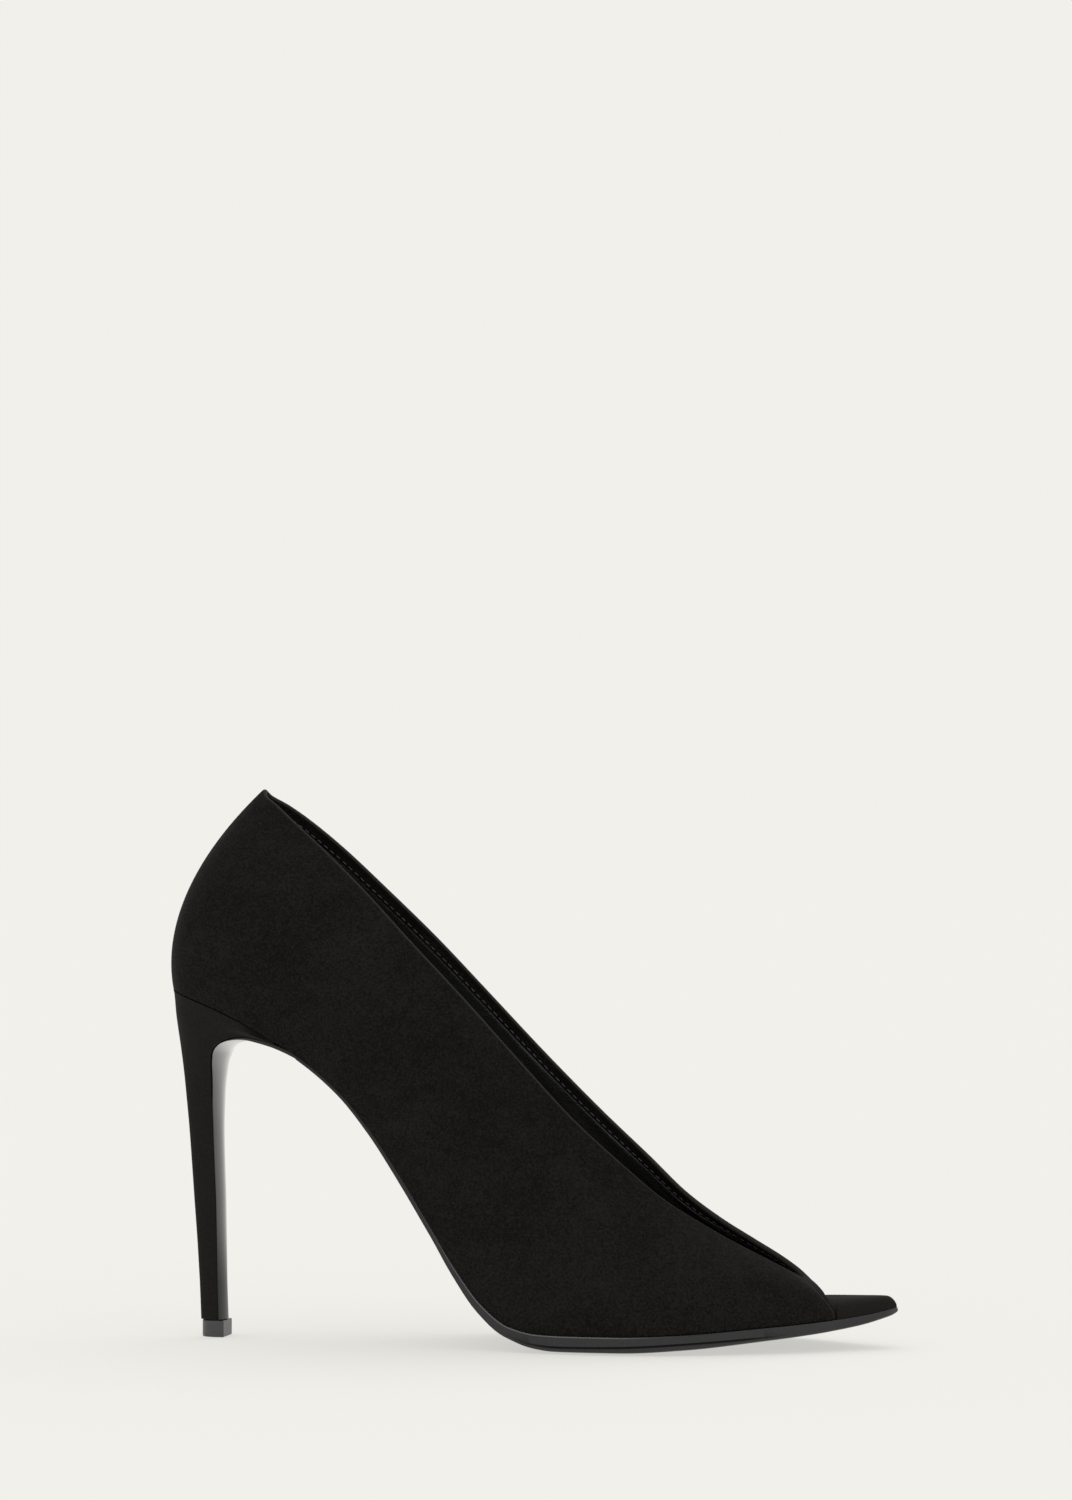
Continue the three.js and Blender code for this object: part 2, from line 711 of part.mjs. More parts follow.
const shoe = new THREE.Group();
shoe.add(makeUpper(), makeInsole(), makeOutsole(), makeHeel(), makeTopPiece());
const box = new THREE.Box3().setFromObject(shoe);
shoe.position.set(-(box.min.x + box.max.x) / 2, -(box.min.y + box.max.y) / 2, -box.min.z);

export default shoe;
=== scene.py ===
# %% [markdown]
# # A suede peep toe pump
#
# This lesson dresses a CAD model of a high stiletto pump. The CAD solids are the fixed frame:
# they say how long, tall and wide the shoe is. Each piece is then drawn again here as a fine
# surface on top of its solid, and gets the finish of the real thing. We begin by loading the
# frame.

import bpy
import numpy as np
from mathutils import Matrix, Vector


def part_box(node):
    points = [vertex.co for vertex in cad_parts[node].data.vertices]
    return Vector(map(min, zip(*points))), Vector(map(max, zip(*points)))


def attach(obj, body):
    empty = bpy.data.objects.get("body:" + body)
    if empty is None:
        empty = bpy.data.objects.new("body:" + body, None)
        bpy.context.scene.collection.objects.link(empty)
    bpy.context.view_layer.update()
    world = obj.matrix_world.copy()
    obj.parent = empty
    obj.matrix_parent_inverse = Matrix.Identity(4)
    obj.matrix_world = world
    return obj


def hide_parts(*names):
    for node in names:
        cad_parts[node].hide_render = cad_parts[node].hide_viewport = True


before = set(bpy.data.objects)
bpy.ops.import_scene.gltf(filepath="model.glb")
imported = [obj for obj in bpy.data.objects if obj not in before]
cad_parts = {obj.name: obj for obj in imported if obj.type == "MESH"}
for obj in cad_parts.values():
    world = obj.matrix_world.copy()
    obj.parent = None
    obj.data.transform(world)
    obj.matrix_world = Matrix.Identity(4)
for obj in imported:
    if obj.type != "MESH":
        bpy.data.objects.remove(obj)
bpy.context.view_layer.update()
MM = 0.001
print("frame:", sorted(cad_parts))

# %% [markdown]
# ## Sizes
#
# A shoe is drawn from a few lengths, and everything else is a share of them. These are the
# maker's sizes in millimetres, with X from the back of the heel to the toe, Y towards the
# inner side of the foot and Z up from the floor. The frame has its origin in the middle of the
# shoe's footprint, so one shift, read from the top piece's own box, joins the two.

# %% Driving sizes
LENGTH = 231.0
BALL_WIDTH = 77.0
HEEL_HEIGHT = 110.5
BACK_RISE = 62.0
INSTEP_RISE = 63.0
TOE_SPRING = 7.0
PEEP_RISE = 8.2
WALL = 1.8
CLEARANCE = 0.3
SOLE_THICKNESS = 5.3
FLAP_THICKNESS = 1.4
SOLE_STAND = 0.8
WAIST_INSET = 4.0
INSOLE_THICKNESS = 3.0
TOE_BED_THICKNESS = 5.6
TOE_BED_INSET = 0.6
TOP_PIECE_HEIGHT = 5.2
TOP_PIECE_LENGTH = 8.0
TOP_PIECE_WIDTH = 10.4
TOP_PIECE_STAND = 0.35
print("shoe", LENGTH, "by", BALL_WIDTH, "mm on a heel of", HEEL_HEIGHT, "mm")

# %% [markdown]
# ## Three small helpers
#
# A table turns rows, which are easy to read and to change, into columns, which numpy can work
# on. Blending and easing then turn a share between 0 and 1 into everything from the thickness
# of a sole to the edge of a groove.


# %% Small helpers
def table(columns, rows):
    """A table with named columns: each column is an array."""
    return dict(zip(columns.split(), np.array(rows, float).T))


def mix(a, b, share):
    """a where share is 0, b where it is 1, and a straight line between."""
    return a + (b - a) * share


def eased(value, start, end):
    """0 before start, 1 after end, and an S between: 3 t squared minus 2 t cubed."""
    t = np.clip((np.asarray(value, float) - start) / (end - start), 0, 1)
    return t * t * (3 - 2 * t)


print("an S in five steps:", eased([0, 0.25, 0.5, 0.75, 1], 0, 1).round(2))

# %% [markdown]
# ## Curves from tables
#
# Designers give a curve by a few measured rows. Two ways of joining rows are enough for a
# shoe. A height along the foot must never swing past a row, so it gets slopes that are
# flattened at each top and bottom. A line in space, such as the topline, should run smoothly
# round its corners, so it gets a centripetal Catmull-Rom curve, which is also what the solids
# were drawn with.


# %% Curves
def through(xs, ys):
    """Height over x: a cubic between rows, with the weighted harmonic mean of the steps on
    either side as its slope, or none where the rows turn back."""
    xs, ys = np.asarray(xs, float), np.asarray(ys, float)
    steps = np.diff(ys) / np.diff(xs)
    share = (xs[2:] - xs[1:-1]) / (xs[2:] - xs[:-2])
    before, after = steps[:-1], steps[1:]
    turns = before * after <= 0
    safe_before, safe_after = np.where(turns, 1, before), np.where(turns, 1, after)
    inner = np.where(turns, 0, 3 / ((1 + share) / safe_before + (2 - share) / safe_after))
    slopes = np.concatenate([steps[:1], inner, steps[-1:]])

    def height(x):
        held = np.clip(np.asarray(x, float), xs[0], xs[-1])
        i = np.clip(np.searchsorted(xs, held, side="left") - 1, 0, len(xs) - 2)
        width = xs[i + 1] - xs[i]
        t = (held - xs[i]) / width
        level = (1 + 2 * t) * (1 - t) ** 2 * ys[i] + t * t * (3 - 2 * t) * ys[i + 1]
        lean = t * (1 - t) ** 2 * slopes[i] - t * t * (1 - t) * slopes[i + 1]
        return level + width * lean

    return height


def centripetal(points, closed=False):
    """Point at 0 to 1 along a curve through the points: a cubic between neighbours, whose
    slopes are worked out with the square roots of the distances as time."""
    points = np.asarray(points, float)
    first, last = 2 * points[0] - points[1], 2 * points[-1] - points[-2]
    if closed:
        padded = np.concatenate([points[-1:], points, points[:2]])
    else:
        padded = np.concatenate([[first], points, [last]])
    spans = len(padded) - 3

    def at(t):
        reach = np.asarray(t, float) * spans
        if closed:
            reach = reach % spans
        i = np.clip(np.floor(reach).astype(int), 0, spans - 1)
        w = (reach - i)[..., None]
        p = [padded[i + k] for k in range(4)]
        d = [np.linalg.norm(p[k + 1] - p[k], axis=-1, keepdims=True) ** 0.5 for k in range(3)]
        across = (p[2] - p[1]) / d[1]
        leaving = (p[1] - p[0]) / d[0] - (p[2] - p[0]) / (d[0] + d[1]) + across
        arriving = across - (p[3] - p[1]) / (d[1] + d[2]) + (p[3] - p[2]) / d[2]
        leaving, arriving = leaving * d[1], arriving * d[1]
        cubic = 2 * p[1] - 2 * p[2] + leaving + arriving
        square = -3 * p[1] + 3 * p[2] - 2 * leaving - arriving
        return p[1] + w * (leaving + w * (square + w * cubic))

    return at


print("a hill through three rows:", through([0, 1, 2], [0, 1, 0])([0.5, 1, 1.5]).round(3))

# %% [markdown]
# ## The bed line
#
# Everything in a shoe stands on the last's feather edge: a line that starts high at the heel
# seat, falls through the arch, is flat under the ball and rises a little to the toe. Upper and
# insole stand on it, and the sole hangs below it. Its table gives places as shares of the
# shoe's length, and heights as shares of the heel's height over the ball and of the toe spring.

# %% Bed line
BED = table("along arch spring", [
    [0.0, 1.0, 0], [0.088, 0.933, 0], [0.187, 0.817, 0], [0.258, 0.693, 0],
    [0.302, 0.578, 0], [0.346, 0.438, 0], [0.392, 0.283, 0], [0.424, 0.177, 0],
    [0.462, 0.077, 0], [0.5, 0.02, 0], [0.54, 0.002, 0], [0.576, 0, 0],
    [0.65, 0, 0], [0.736, 0, 0.11], [0.823, 0, 0.32], [0.91, 0, 0.54],
    [0.953, 0, 0.71], [1.0, 0, 1.0],
])
arch_share = through(BED["along"], BED["arch"])
spring_share = through(BED["along"], BED["spring"])
BED_AT_BALL = SOLE_THICKNESS + CLEARANCE


def bed_height(x):
    """Height of the bed line: the ball's, plus a share of the heel's, plus the toe spring."""
    share = np.asarray(x, float) / LENGTH
    return (BED_AT_BALL + arch_share(share) * (HEEL_HEIGHT - BED_AT_BALL)
            + spring_share(share) * TOE_SPRING)


def under_bed(x, depth):
    """Points at a depth below the bed line, square to it, as X and Z."""
    slope = bed_height(x + 0.5) - bed_height(x - 0.5)
    size = np.hypot(1, slope)
    return x + slope / size * depth, bed_height(x) - depth / size


print("bed from", round(float(bed_height(0)), 1), "to", round(float(bed_height(LENGTH)), 1), "mm")

# %% [markdown]
# ## Meshes from grids
#
# Each piece is a grid of points computed as one numpy array: rows run along the shoe and
# columns run round it. The same few lines then turn any such grid into a Blender mesh. They
# join the grid's ends where it is a ring, close its open ends with a flat face, and turn the
# whole shell inside out if its volume comes out negative, so that faces point outwards.


# %% Faces of a grid
def grid_faces(rows, columns, ring_rows):
    """Corner numbers of the quads between neighbouring points; columns always close."""
    i = np.arange(rows if ring_rows else rows - 1)[:, None]
    j = np.arange(columns)[None, :]
    down, right = (i + 1) % rows, (j + 1) % columns
    corners = [i * columns + j, i * columns + right, down * columns + right, down * columns + j]
    return np.stack([np.broadcast_to(c, (len(i), columns)) for c in corners], -1).reshape(-1, 4)


def volume(points, faces):
    """Signed volume of quads: a sixth of the sum of a . (b x c) over their triangles."""
    a, b, c, d = (points[faces[:, k]] for k in range(4))
    return (np.einsum("ij,ij", a, np.cross(b, c)) + np.einsum("ij,ij", a, np.cross(c, d))) / 6


def outward_faces(points, rows, columns, ring_rows):
    """Quads of a grid and the polygons that close its open ends, all pointing outwards."""
    quads = grid_faces(rows, columns, ring_rows)
    around = np.arange(columns)
    ends = [] if ring_rows else [around[::-1], (rows - 1) * columns + around]
    if volume(points, quads) < 0:
        return quads[:, ::-1], [end[::-1] for end in ends]
    return quads, ends


print("a grid of 3 by 4 points has", len(grid_faces(3, 4, False)), "quads, a ring",
      len(grid_faces(3, 4, True)))

# %% Mesh and object
HEEL_TIP_BACK = 0.0403
TOP_PIECE_SETBACK = 0.9
TOP_PIECE_REAR = HEEL_TIP_BACK * LENGTH + TOP_PIECE_SETBACK
tip_low, tip_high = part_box("top_piece")
SHIFT = np.array([
    (tip_low.x + tip_high.x) / 2 / MM - TOP_PIECE_REAR - TOP_PIECE_LENGTH / 2,
    (tip_low.y + tip_high.y) / 2 / MM,
    0.0,
])


def in_frame(points):
    """Points in shoe millimetres as metres in the frame, one row each."""
    return (points.reshape(-1, 3) + SHIFT) * MM


def shoe_object(name, points, faces):
    """A smooth mesh from points in metres and lists of corners, riding on the one body."""
    mesh = bpy.data.meshes.new(name)
    mesh.from_pydata(points.tolist(), [], faces)
    mesh.polygons.foreach_set("use_smooth", np.ones(len(faces), bool))
    made = bpy.data.objects.new(name, mesh)
    bpy.context.scene.collection.objects.link(made)
    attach(made, "root")
    return made


def piece(name, points, ring_rows=False, sharp=50.0, **marks):
    """A closed piece from a grid of points in shoe millimetres. Edges that bend by more than
    sharp degrees are drawn sharp, and marks are numbers per point for the material to read."""
    rows, columns = points.shape[:2]
    flat = in_frame(points)
    quads, ends = outward_faces(flat, rows, columns, ring_rows)
    faces = quads.tolist() + [end.tolist() for end in ends]
    made = shoe_object(name, flat, faces)
    made.data.set_sharp_from_angle(angle=np.radians(sharp))
    for mark, values in marks.items():
        attribute = made.data.attributes.new(mark, "FLOAT", "POINT")
        values = np.broadcast_to(values, (rows, columns)).astype(np.float32)
        attribute.data.foreach_set("value", values.ravel())
    print(name, "faces", len(faces))
    return made


print("shoe to frame, in mm:", SHIFT.round(2))

# %% [markdown]
# ## The upper's ribs
#
# The last is measured in ribs, each running from the feather edge up to the topline. A rib is
# a cubic curve: where it starts, where it ends, and two handles that make the wall swell. The
# two sides of a foot differ, so most rows give an outer and an inner distance. At the toe the
# ribs no longer start on the sole: they start on the rim of the peep. Places along the shoe are
# shares of its length, distances to the side are shares of the width at the ball, and skew is
# how far back a rib stands on the inner side.

# %% Tables of the last
FOOT = table("foot skew lift outer inner", [
    [0.005, 0, 0, 0.0, 0.0], [0.012, 0, 0, 0.112, 0.112], [0.028, 0, 0, 0.2, 0.2],
    [0.055, 0, 0, 0.263, 0.263], [0.098, 0, 0, 0.305, 0.305], [0.158, 0, 0, 0.325, 0.322],
    [0.234, 0, 0, 0.32, 0.302], [0.32, 0, 0, 0.323, 0.29], [0.41, 0, 0, 0.368, 0.318],
    [0.498, 0, 0, 0.438, 0.395], [0.58, 0, 0, 0.487, 0.462], [0.658, 0, 0, 0.492, 0.5],
    [0.736, 0, 0, 0.45, 0.483], [0.805, 0, 0, 0.372, 0.418], [0.861, 0.004, 0, 0.284, 0.345],
    [0.9, 0.026, 0, 0.208, 0.315], [0.921, 0.032, 0, 0.152, 0.288],
    [0.914, 0.033, 0.45, 0.136, 0.247], [0.9035, 0.0205, 0.84, 0.088, 0.175],
    [0.893, 0, 1.0, -0.026, 0.026],
])
TOP = table("top skew outer inner rise", [
    [0.1305, 0, 0.0, 0.0, 1.0], [0.136, -0.001, 0.05, 0.05, 0.985],
    [0.155, -0.003, 0.095, 0.095, 0.957], [0.185, -0.004, 0.145, 0.145, 0.9],
    [0.229, -0.001, 0.195, 0.195, 0.826], [0.286, 0.003, 0.24, 0.245, 0.745],
    [0.355, 0.002, 0.273, 0.28, 0.68], [0.43, 0.0087, 0.295, 0.3, 0.775],
    [0.507, 0.0025, 0.312, 0.315, 0.952], [0.58, -0.0025, 0.318, 0.32, 1.0],
    [0.645, -0.001, 0.308, 0.315, 0.822], [0.701, 0.001, 0.26, 0.27, 0.645],
    [0.753, 0.004, 0.217, 0.237, 0.508], [0.8, 0.0055, 0.19, 0.215, 0.392],
    [0.839, 0.007, 0.158, 0.19, 0.3], [0.865, 0.006, 0.115, 0.155, 0.232],
    [0.876, 0.006, 0.062, 0.112, 0.196], [0.8785, 0.005, 0.036, 0.088, 0.192],
    [0.8798, 0.003, 0.006, 0.058, 0.189], [0.8805, 0, -0.026, 0.026, 0.188],
])
CURVE = table("swell up bulge down lean", [
    [0.055, 0.39, 0.0, 0.25, 0.59], [0.055, 0.38, 0.005, 0.25, 0.59],
    [0.055, 0.37, 0.015, 0.26, 0.57], [0.055, 0.36, 0.028, 0.27, 0.54],
    [0.056, 0.36, 0.042, 0.28, 0.5], [0.06, 0.36, 0.055, 0.3, 0.46],
    [0.062, 0.36, 0.062, 0.32, 0.42], [0.06, 0.36, 0.068, 0.32, 0.4],
    [0.055, 0.36, 0.075, 0.32, 0.36], [0.05, 0.36, 0.085, 0.32, 0.3],
    [0.045, 0.37, 0.095, 0.3, 0.25], [0.04, 0.4, 0.11, 0.26, 0.2],
    [0.035, 0.43, 0.11, 0.23, 0.1], [0.03, 0.45, 0.1, 0.2, 0.0],
    [0.024, 0.46, 0.075, 0.18, 0.0], [0.018, 0.46, 0.05, 0.18, 0.1],
    [0.012, 0.4, 0.03, 0.22, 0.2], [0.01, 0.36, 0.022, 0.24, 0.25],
    [0.006, 0.35, 0.012, 0.28, 0.3], [0.003, 0.33, 0.006, 0.33, 0.33],
])
MIDDLE = len(FOOT["foot"]) - 1
CORNER = int(np.argmax(FOOT["lift"] > 0)) - 1
print("ribs on a side", MIDDLE + 1, "and the peep's corner at rib", CORNER)

# %% Ribs
TOPLINE_EASE = 1.5
EASED_RIB = 6.9
BACK_LIFT = 0.7
BELL = 0.8


def round_the_shoe(values):
    """A column laid round the shoe: outer side to the peep, then back on the inner side."""
    return np.concatenate([values, values[-2:0:-1]])


def rib_ends():
    """Start and end point of each rib, on the side it is on. The topline sinks a little at
    the narrowest part of the outer side, and peaks at the back, each by a bell of ribs."""
    foot, top = ({name: round_the_shoe(column) for name, column in rows.items()}
                 for rows in (FOOT, TOP))
    side = np.concatenate([-np.ones(MIDDLE + 1), np.ones(MIDDLE - 1)])
    inner = side > 0
    foot_x = LENGTH * foot["foot"] - LENGTH * inner * foot["skew"]
    top_x = LENGTH * top["top"] - LENGTH * inner * top["skew"]
    foot_half = np.where(inner, foot["inner"], foot["outer"])
    top_half = np.where(inner, top["inner"], top["outer"])
    bed = bed_height(foot_x)
    wall = mix(BACK_RISE, INSTEP_RISE, eased(foot["foot"], 0.1, 0.5))
    low = bed + foot["lift"] * PEEP_RISE
    rib = round_the_shoe(np.arange(MIDDLE + 1))
    ease = np.exp(-((rib - EASED_RIB) / BELL) ** 2) * ~inner
    lift = np.exp(-(rib / BELL) ** 2)
    high = bed + top["rise"] * wall - TOPLINE_EASE * ease + BACK_LIFT * lift
    return (np.stack([foot_x, side * foot_half * BALL_WIDTH, low], 1),
            np.stack([top_x, side * top_half * BALL_WIDTH, high], 1))


foot_points, top_points = rib_ends()
along = np.roll(foot_points, -1, 0) - np.roll(foot_points, 1, 0)
along[:, 2] = 0
along /= np.linalg.norm(along, axis=1, keepdims=True)
outward = np.stack([along[:, 1], -along[:, 0], np.zeros(len(along))], 1)
run = top_points - foot_points
shape = {name: round_the_shoe(column)[:, None] for name, column in CURVE.items()}
UPRIGHT = np.array([0.0, 0.0, 1.0])
low_points = foot_points + outward * shape["swell"] * BALL_WIDTH + UPRIGHT * run * shape["up"]
back = run * np.concatenate([shape["lean"], shape["lean"], shape["down"]], 1)
high_points = top_points + outward * shape["bulge"] * BALL_WIDTH - back
foot_line, low_line, high_line, top_line = (
    centripetal(points, closed=True)
    for points in (foot_points, low_points, high_points, top_points))
RIBS = len(foot_points)
print("ribs", RIBS, "topline highest at", round(float(top_points[:, 2].max()), 1), "mm")

# %% [markdown]
# ## Skin of the upper
#
# With four closed curves for the ribs' ends and handles, any point of the outer skin is one
# cubic away. The inner skin is the same point moved in by the wall's thickness, square to the
# surface, which is how leather behaves when it is pulled over a last.

# %% Outer skin
BESIDE_PEEP = (1.35, 1.65)


def from_peep(t):
    """Distance from the middle of the peep, in ribs."""
    return np.abs(t * RIBS % RIBS - MIDDLE)


def corners_at(t):
    """The start, two handles and end of the ribs at shares t round the shoe."""
    return [line(t) for line in (foot_line, low_line, high_line, top_line)]


def skin(t, up):
    """Outer surface: a cubic from the foot line at up = 0 to the topline at up = 1."""
    p = corners_at(t)
    u = np.asarray(up, float)[..., None]
    return ((1 - u) ** 3 * p[0] + 3 * u * (1 - u) ** 2 * p[1]
            + 3 * u * u * (1 - u) * p[2] + u ** 3 * p[3])


def skin_frame(t, up):
    """Point, unit normal and unit rise of the outer surface, from small steps both ways. The
    foot is then set down on the bed line, everywhere but over the peep."""
    low, high = np.maximum(up - 0.01, 0), np.minimum(up + 0.01, 1)
    around = skin(t + 0.002, up) - skin(t - 0.002, up)
    rising = skin(t, high) - skin(t, low)
    normal = np.cross(around, rising)
    normal /= np.linalg.norm(normal, axis=-1, keepdims=True)
    rising /= np.linalg.norm(rising, axis=-1, keepdims=True)
    foot = foot_line(t)
    beside_peep = eased(from_peep(t), *BESIDE_PEEP)
    point = skin(t, up)
    point[..., 2] += beside_peep * (1 - up) ** 4 * (bed_height(foot[..., 0]) - foot[..., 2])
    return point, normal, rising


def rib_length(t):
    """Length of the ribs at t, as the sum of 24 short steps."""
    up = np.linspace(0, 1, 25)[None, :]
    points = skin(np.asarray(t)[:, None] + 0 * up, up + 0 * np.asarray(t)[:, None])
    return np.linalg.norm(np.diff(points, axis=1), axis=2).sum(1)


ring_of_ribs = np.arange(RIBS) / RIBS
print("ribs are", rib_length(ring_of_ribs).min().round(1), "to",
      rib_length(ring_of_ribs).max().round(1), "mm long")

# %% [markdown]
# ## The strap over the toes
#
# Across the toes the upper is a strap in one with the rest. It could be a second layer of suede,
# but a layer so thin would only blur the rim. So the mesh carries a mark instead, the distance
# from the strap's edge, and from it the suede's material paints shade on the strap as a darker
# band, as if it lay below the sides' edges, and a highlight as a light line along its edge. At
# the peep's two tight corners the suede is pared thin, as a maker does there, so that its inner
# side doesn't bunch.

# %% Strap
STRAP = table("up apart", [
    [0.0, 3.05], [0.1, 3.11], [0.25, 3.22], [0.38, 3.33], [0.5, 3.40], [0.61, 3.47],
    [0.72, 3.58], [0.77, 3.76], [0.82, 3.98], [0.88, 4.2], [0.94, 4.5], [1.0, 4.9],
])
strap_edge = through(STRAP["up"], STRAP["apart"])
PARED = 0.76
PARED_RIBS = 1.15
PARED_BEFORE = 0.6


def past_strap(t, up):
    """Distance in millimetres past the edge of the strap over the toes: less than nothing on
    the strap. It is the distance in ribs times the room between ribs there."""
    room = np.linalg.norm(skin(t + 0.003, up) - skin(t - 0.003, up), axis=-1) / (0.006 * RIBS)
    return (from_peep(t) - strap_edge(up)) * np.clip(room, 1.5, 12)


def thinned(t, up):
    """Share of the wall's thickness: all of it, but for a bell of ribs at the peep's corners,
    which fades out towards the topline."""
    beside = from_peep(t) - (MIDDLE - CORNER) + PARED_BEFORE
    return 1 - PARED * np.exp(-(beside / PARED_RIBS) ** 2) * (1 - up) ** 1.1


print("strap", STRAP["apart"][0], "ribs to a side at the peep and", STRAP["apart"][-1],
      "at the topline")

# %% [markdown]
# ## Suede shell with a folded topline
#
# On the real shoe the suede doesn't end at the topline: it is thinned, folded over the edge
# and stitched down a few millimetres inside. So the suede is a closed shell of its own: full
# outer skin, a round fold, a narrow facing inside, and behind the lining a thinner wall. It
# could be a Solidify modifier, but that gives a square edge, and the soft fold is what
# catches the light along the whole throat. The mesh carries four marks for its material: how
# far a point is round the fold, whether it is inside, and how far it lies below the topline
# and past the strap's edge.

# %% Profile of the shell
COLUMNS = RIBS * 9
FOLD = WALL / 2
FACING = 3.2
BEHIND_LINING = 1.0
FOOT_ROUNDING = 0.3
OUTER_STEPS = 62
INNER_STEPS = 22
FOLD_STEPS = 8


def shell_profile(t):
    """For each rib a closed loop of (up, depth, slide): depth is the distance in from the
    outer skin, and slide is the distance past it along the rib, used by the round folds."""
    p = corners_at(t)
    leaving = 3 * np.linalg.norm(p[1] - p[0], axis=-1)
    arriving = 3 * np.linalg.norm(p[3] - p[2], axis=-1)
    length = rib_length(t)
    rounding = mix(FOOT_ROUNDING, FOLD * 0.8, 1 - eased(from_peep(t), 2.2, 3.4))
    start, end = rounding / leaving, 1 - FOLD / arriving
    facing = np.minimum(FACING, length * 0.3) / length
    none = np.zeros_like(t)
    turn = np.linspace(0, np.pi, FOLD_STEPS + 2)[1:-1]
    loop = [(mix(start, end, s), none, none) for s in np.linspace(0, 1, OUTER_STEPS)]
    loop += [(end, none + FOLD * (1 - np.cos(a)), none + FOLD * np.sin(a)) for a in turn]
    loop += [(end - facing * s, none + WALL, none) for s in (0, 0.25, 0.5, 0.8, 0.97)]
    top_in, low_in = end - facing, start + facing
    loop += [(mix(top_in, low_in, s), none + BEHIND_LINING, none)
             for s in np.linspace(0, 1, INNER_STEPS)]
    loop += [(start + facing * s, none + WALL, none) for s in (0.97, 0.6, 0.3, 0)]
    for a in turn[::-1]:
        from_edge = rounding * (1 - abs(np.cos(a)))
        across = from_edge if a < np.pi / 2 else WALL - from_edge
        loop += [(start, across, -rounding * np.sin(a))]
    return [np.stack(column, 1) for column in zip(*loop)], top_in, low_in, length


ring = np.arange(COLUMNS) / COLUMNS
(up, depth, slide), facing_top, facing_low, rib_lengths = shell_profile(ring)
print("points round a rib", up.shape[1], "and ribs drawn", COLUMNS)

# %% Upper
t = ring[:, None] + 0 * up
thin = thinned(t, up)
strap = past_strap(t, up)
point, normal, rising = skin_frame(t, up)
shell = point - normal * (depth * thin)[..., None] + rising * (slide * thin)[..., None]
at_top = np.where(slide > 0, slide / FOLD, 0)
at_peep = np.where(slide < 0, -slide / FOLD, 0) * (1 - eased(from_peep(t), 2.4, 3.2))
below_edge = (1 - up) * rib_lengths[:, None]
upper = piece("upper_suede", shell, ring_rows=True, sharp=60, fold=np.maximum(at_top, at_peep),
              inside=(depth > WALL * 0.9) * 1.0, below_edge=below_edge, strap=strap)
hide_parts("upper")

# %% [markdown]
# ## Lining
#
# Inside, a thin smooth leather lies against the suede and ends below the topline, under a row
# of stitches. It is its own closed sheet with rounded ends, a hair prouder than the facing.
# Glued leather never lies quite flat where the shoe bends. A cloth simulation could crease it,
# but a few listed creases stay where the photographed lining has them, beside the
# instep. Each has a place in ribs and up the wall, a length in ribs, a slant and a height.

# %% Lining
LINING_PROUD = 0.12
LINING_TUCK = 0.25 / 60
CREASE_SLANT = 0.06
CREASE_HALF = 0.028
CREASES = table("rib up length slant height", [
    [27.6, 0.86, 1.3, 0.9, 0.42], [28.3, 0.78, 1.1, 0.5, 0.46], [28.9, 0.84, 1.2, 1.0, 0.40],
    [26.6, 0.88, 1.2, 0.7, 0.36], [29.8, 0.74, 1.5, 0.6, 0.40], [25.6, 0.84, 1.4, 0.9, 0.30],
    [10.2, 0.80, 1.3, 0.7, 0.30], [11.3, 0.70, 1.4, 0.8, 0.26], [9.0, 0.84, 1.2, 0.6, 0.24],
])


def creased(t, up):
    """Rise of the lining over its flat place: for each crease, height times a bell across
    the crease times a bell along it, all added up."""
    rise = 0 * up
    for rib, at, long, slant, height in zip(*CREASES.values()):
        across_ribs = t * RIBS - rib
        over = (up - at - CREASE_SLANT * slant * across_ribs) / CREASE_HALF
        rise = rise + height * np.exp(-over ** 2) * np.exp(-(across_ribs / long) ** 2)
    return rise


def lining_profile(none, top, low):
    """Loop of (up, depth): the visible face from top to bottom, then the hidden face."""
    rows = np.linspace(0, 1, 60)
    front, rear = none + WALL + LINING_PROUD, none + BEHIND_LINING + LINING_PROUD
    seen = [(mix(top - LINING_TUCK, low + LINING_TUCK, s), front) for s in rows]
    hidden = [(mix(top, low, s), rear) for s in rows[::-2]]
    edge = none + WALL
    return [(top, edge)] + seen + [(low, edge)] + hidden


lining_loop = lining_profile(np.zeros(COLUMNS), facing_top, facing_low)
up, depth = (np.stack(column, 1) for column in zip(*lining_loop))
t = ring[:, None] + 0 * up
point, normal, rising = skin_frame(t, up)
depth = depth * thinned(t, up) + np.where(depth > WALL, creased(t, up), 0)
lining = piece("lining", point - normal * depth[..., None], ring_rows=True, sharp=70)

# %% [markdown]
# ## Stitches under the topline
#
# A sewing machine leaves a row of short raised beads. They could be copies of one object, but
# then each would need its own place and turn. Instead one bead is a small spindle of six rings
# of six points, and numpy lays all of them at even steps along the facing in one go.

# %% Stitches
STITCH_STEP = 2.6
STITCH_LENGTH = 1.9
STITCH_HALF = 0.22
STITCH_ABOVE_LINING = 0.9
STITCH_PROUD = 0.06


def along_ring(t, up_at, depth):
    """Points on a closed line round the inside of the shoe, at even steps of its length."""
    point, normal, rising = skin_frame(t, up_at)
    line = point - normal * depth
    steps = np.linalg.norm(np.diff(line, axis=0, append=line[:1]), axis=1)
    reach = np.concatenate([[0], np.cumsum(steps)])
    count = int(reach[-1] / STITCH_STEP)
    wanted = (np.arange(count) + 0.5) * reach[-1] / count
    closed_line = np.concatenate([line, line[:1]])
    closed_normal = np.concatenate([normal, normal[:1]])
    place = [np.interp(wanted, reach, closed_line[:, k]) for k in range(3)]
    inward = [-np.interp(wanted, reach, closed_normal[:, k]) for k in range(3)]
    return np.stack(place, 1), np.stack(inward, 1)


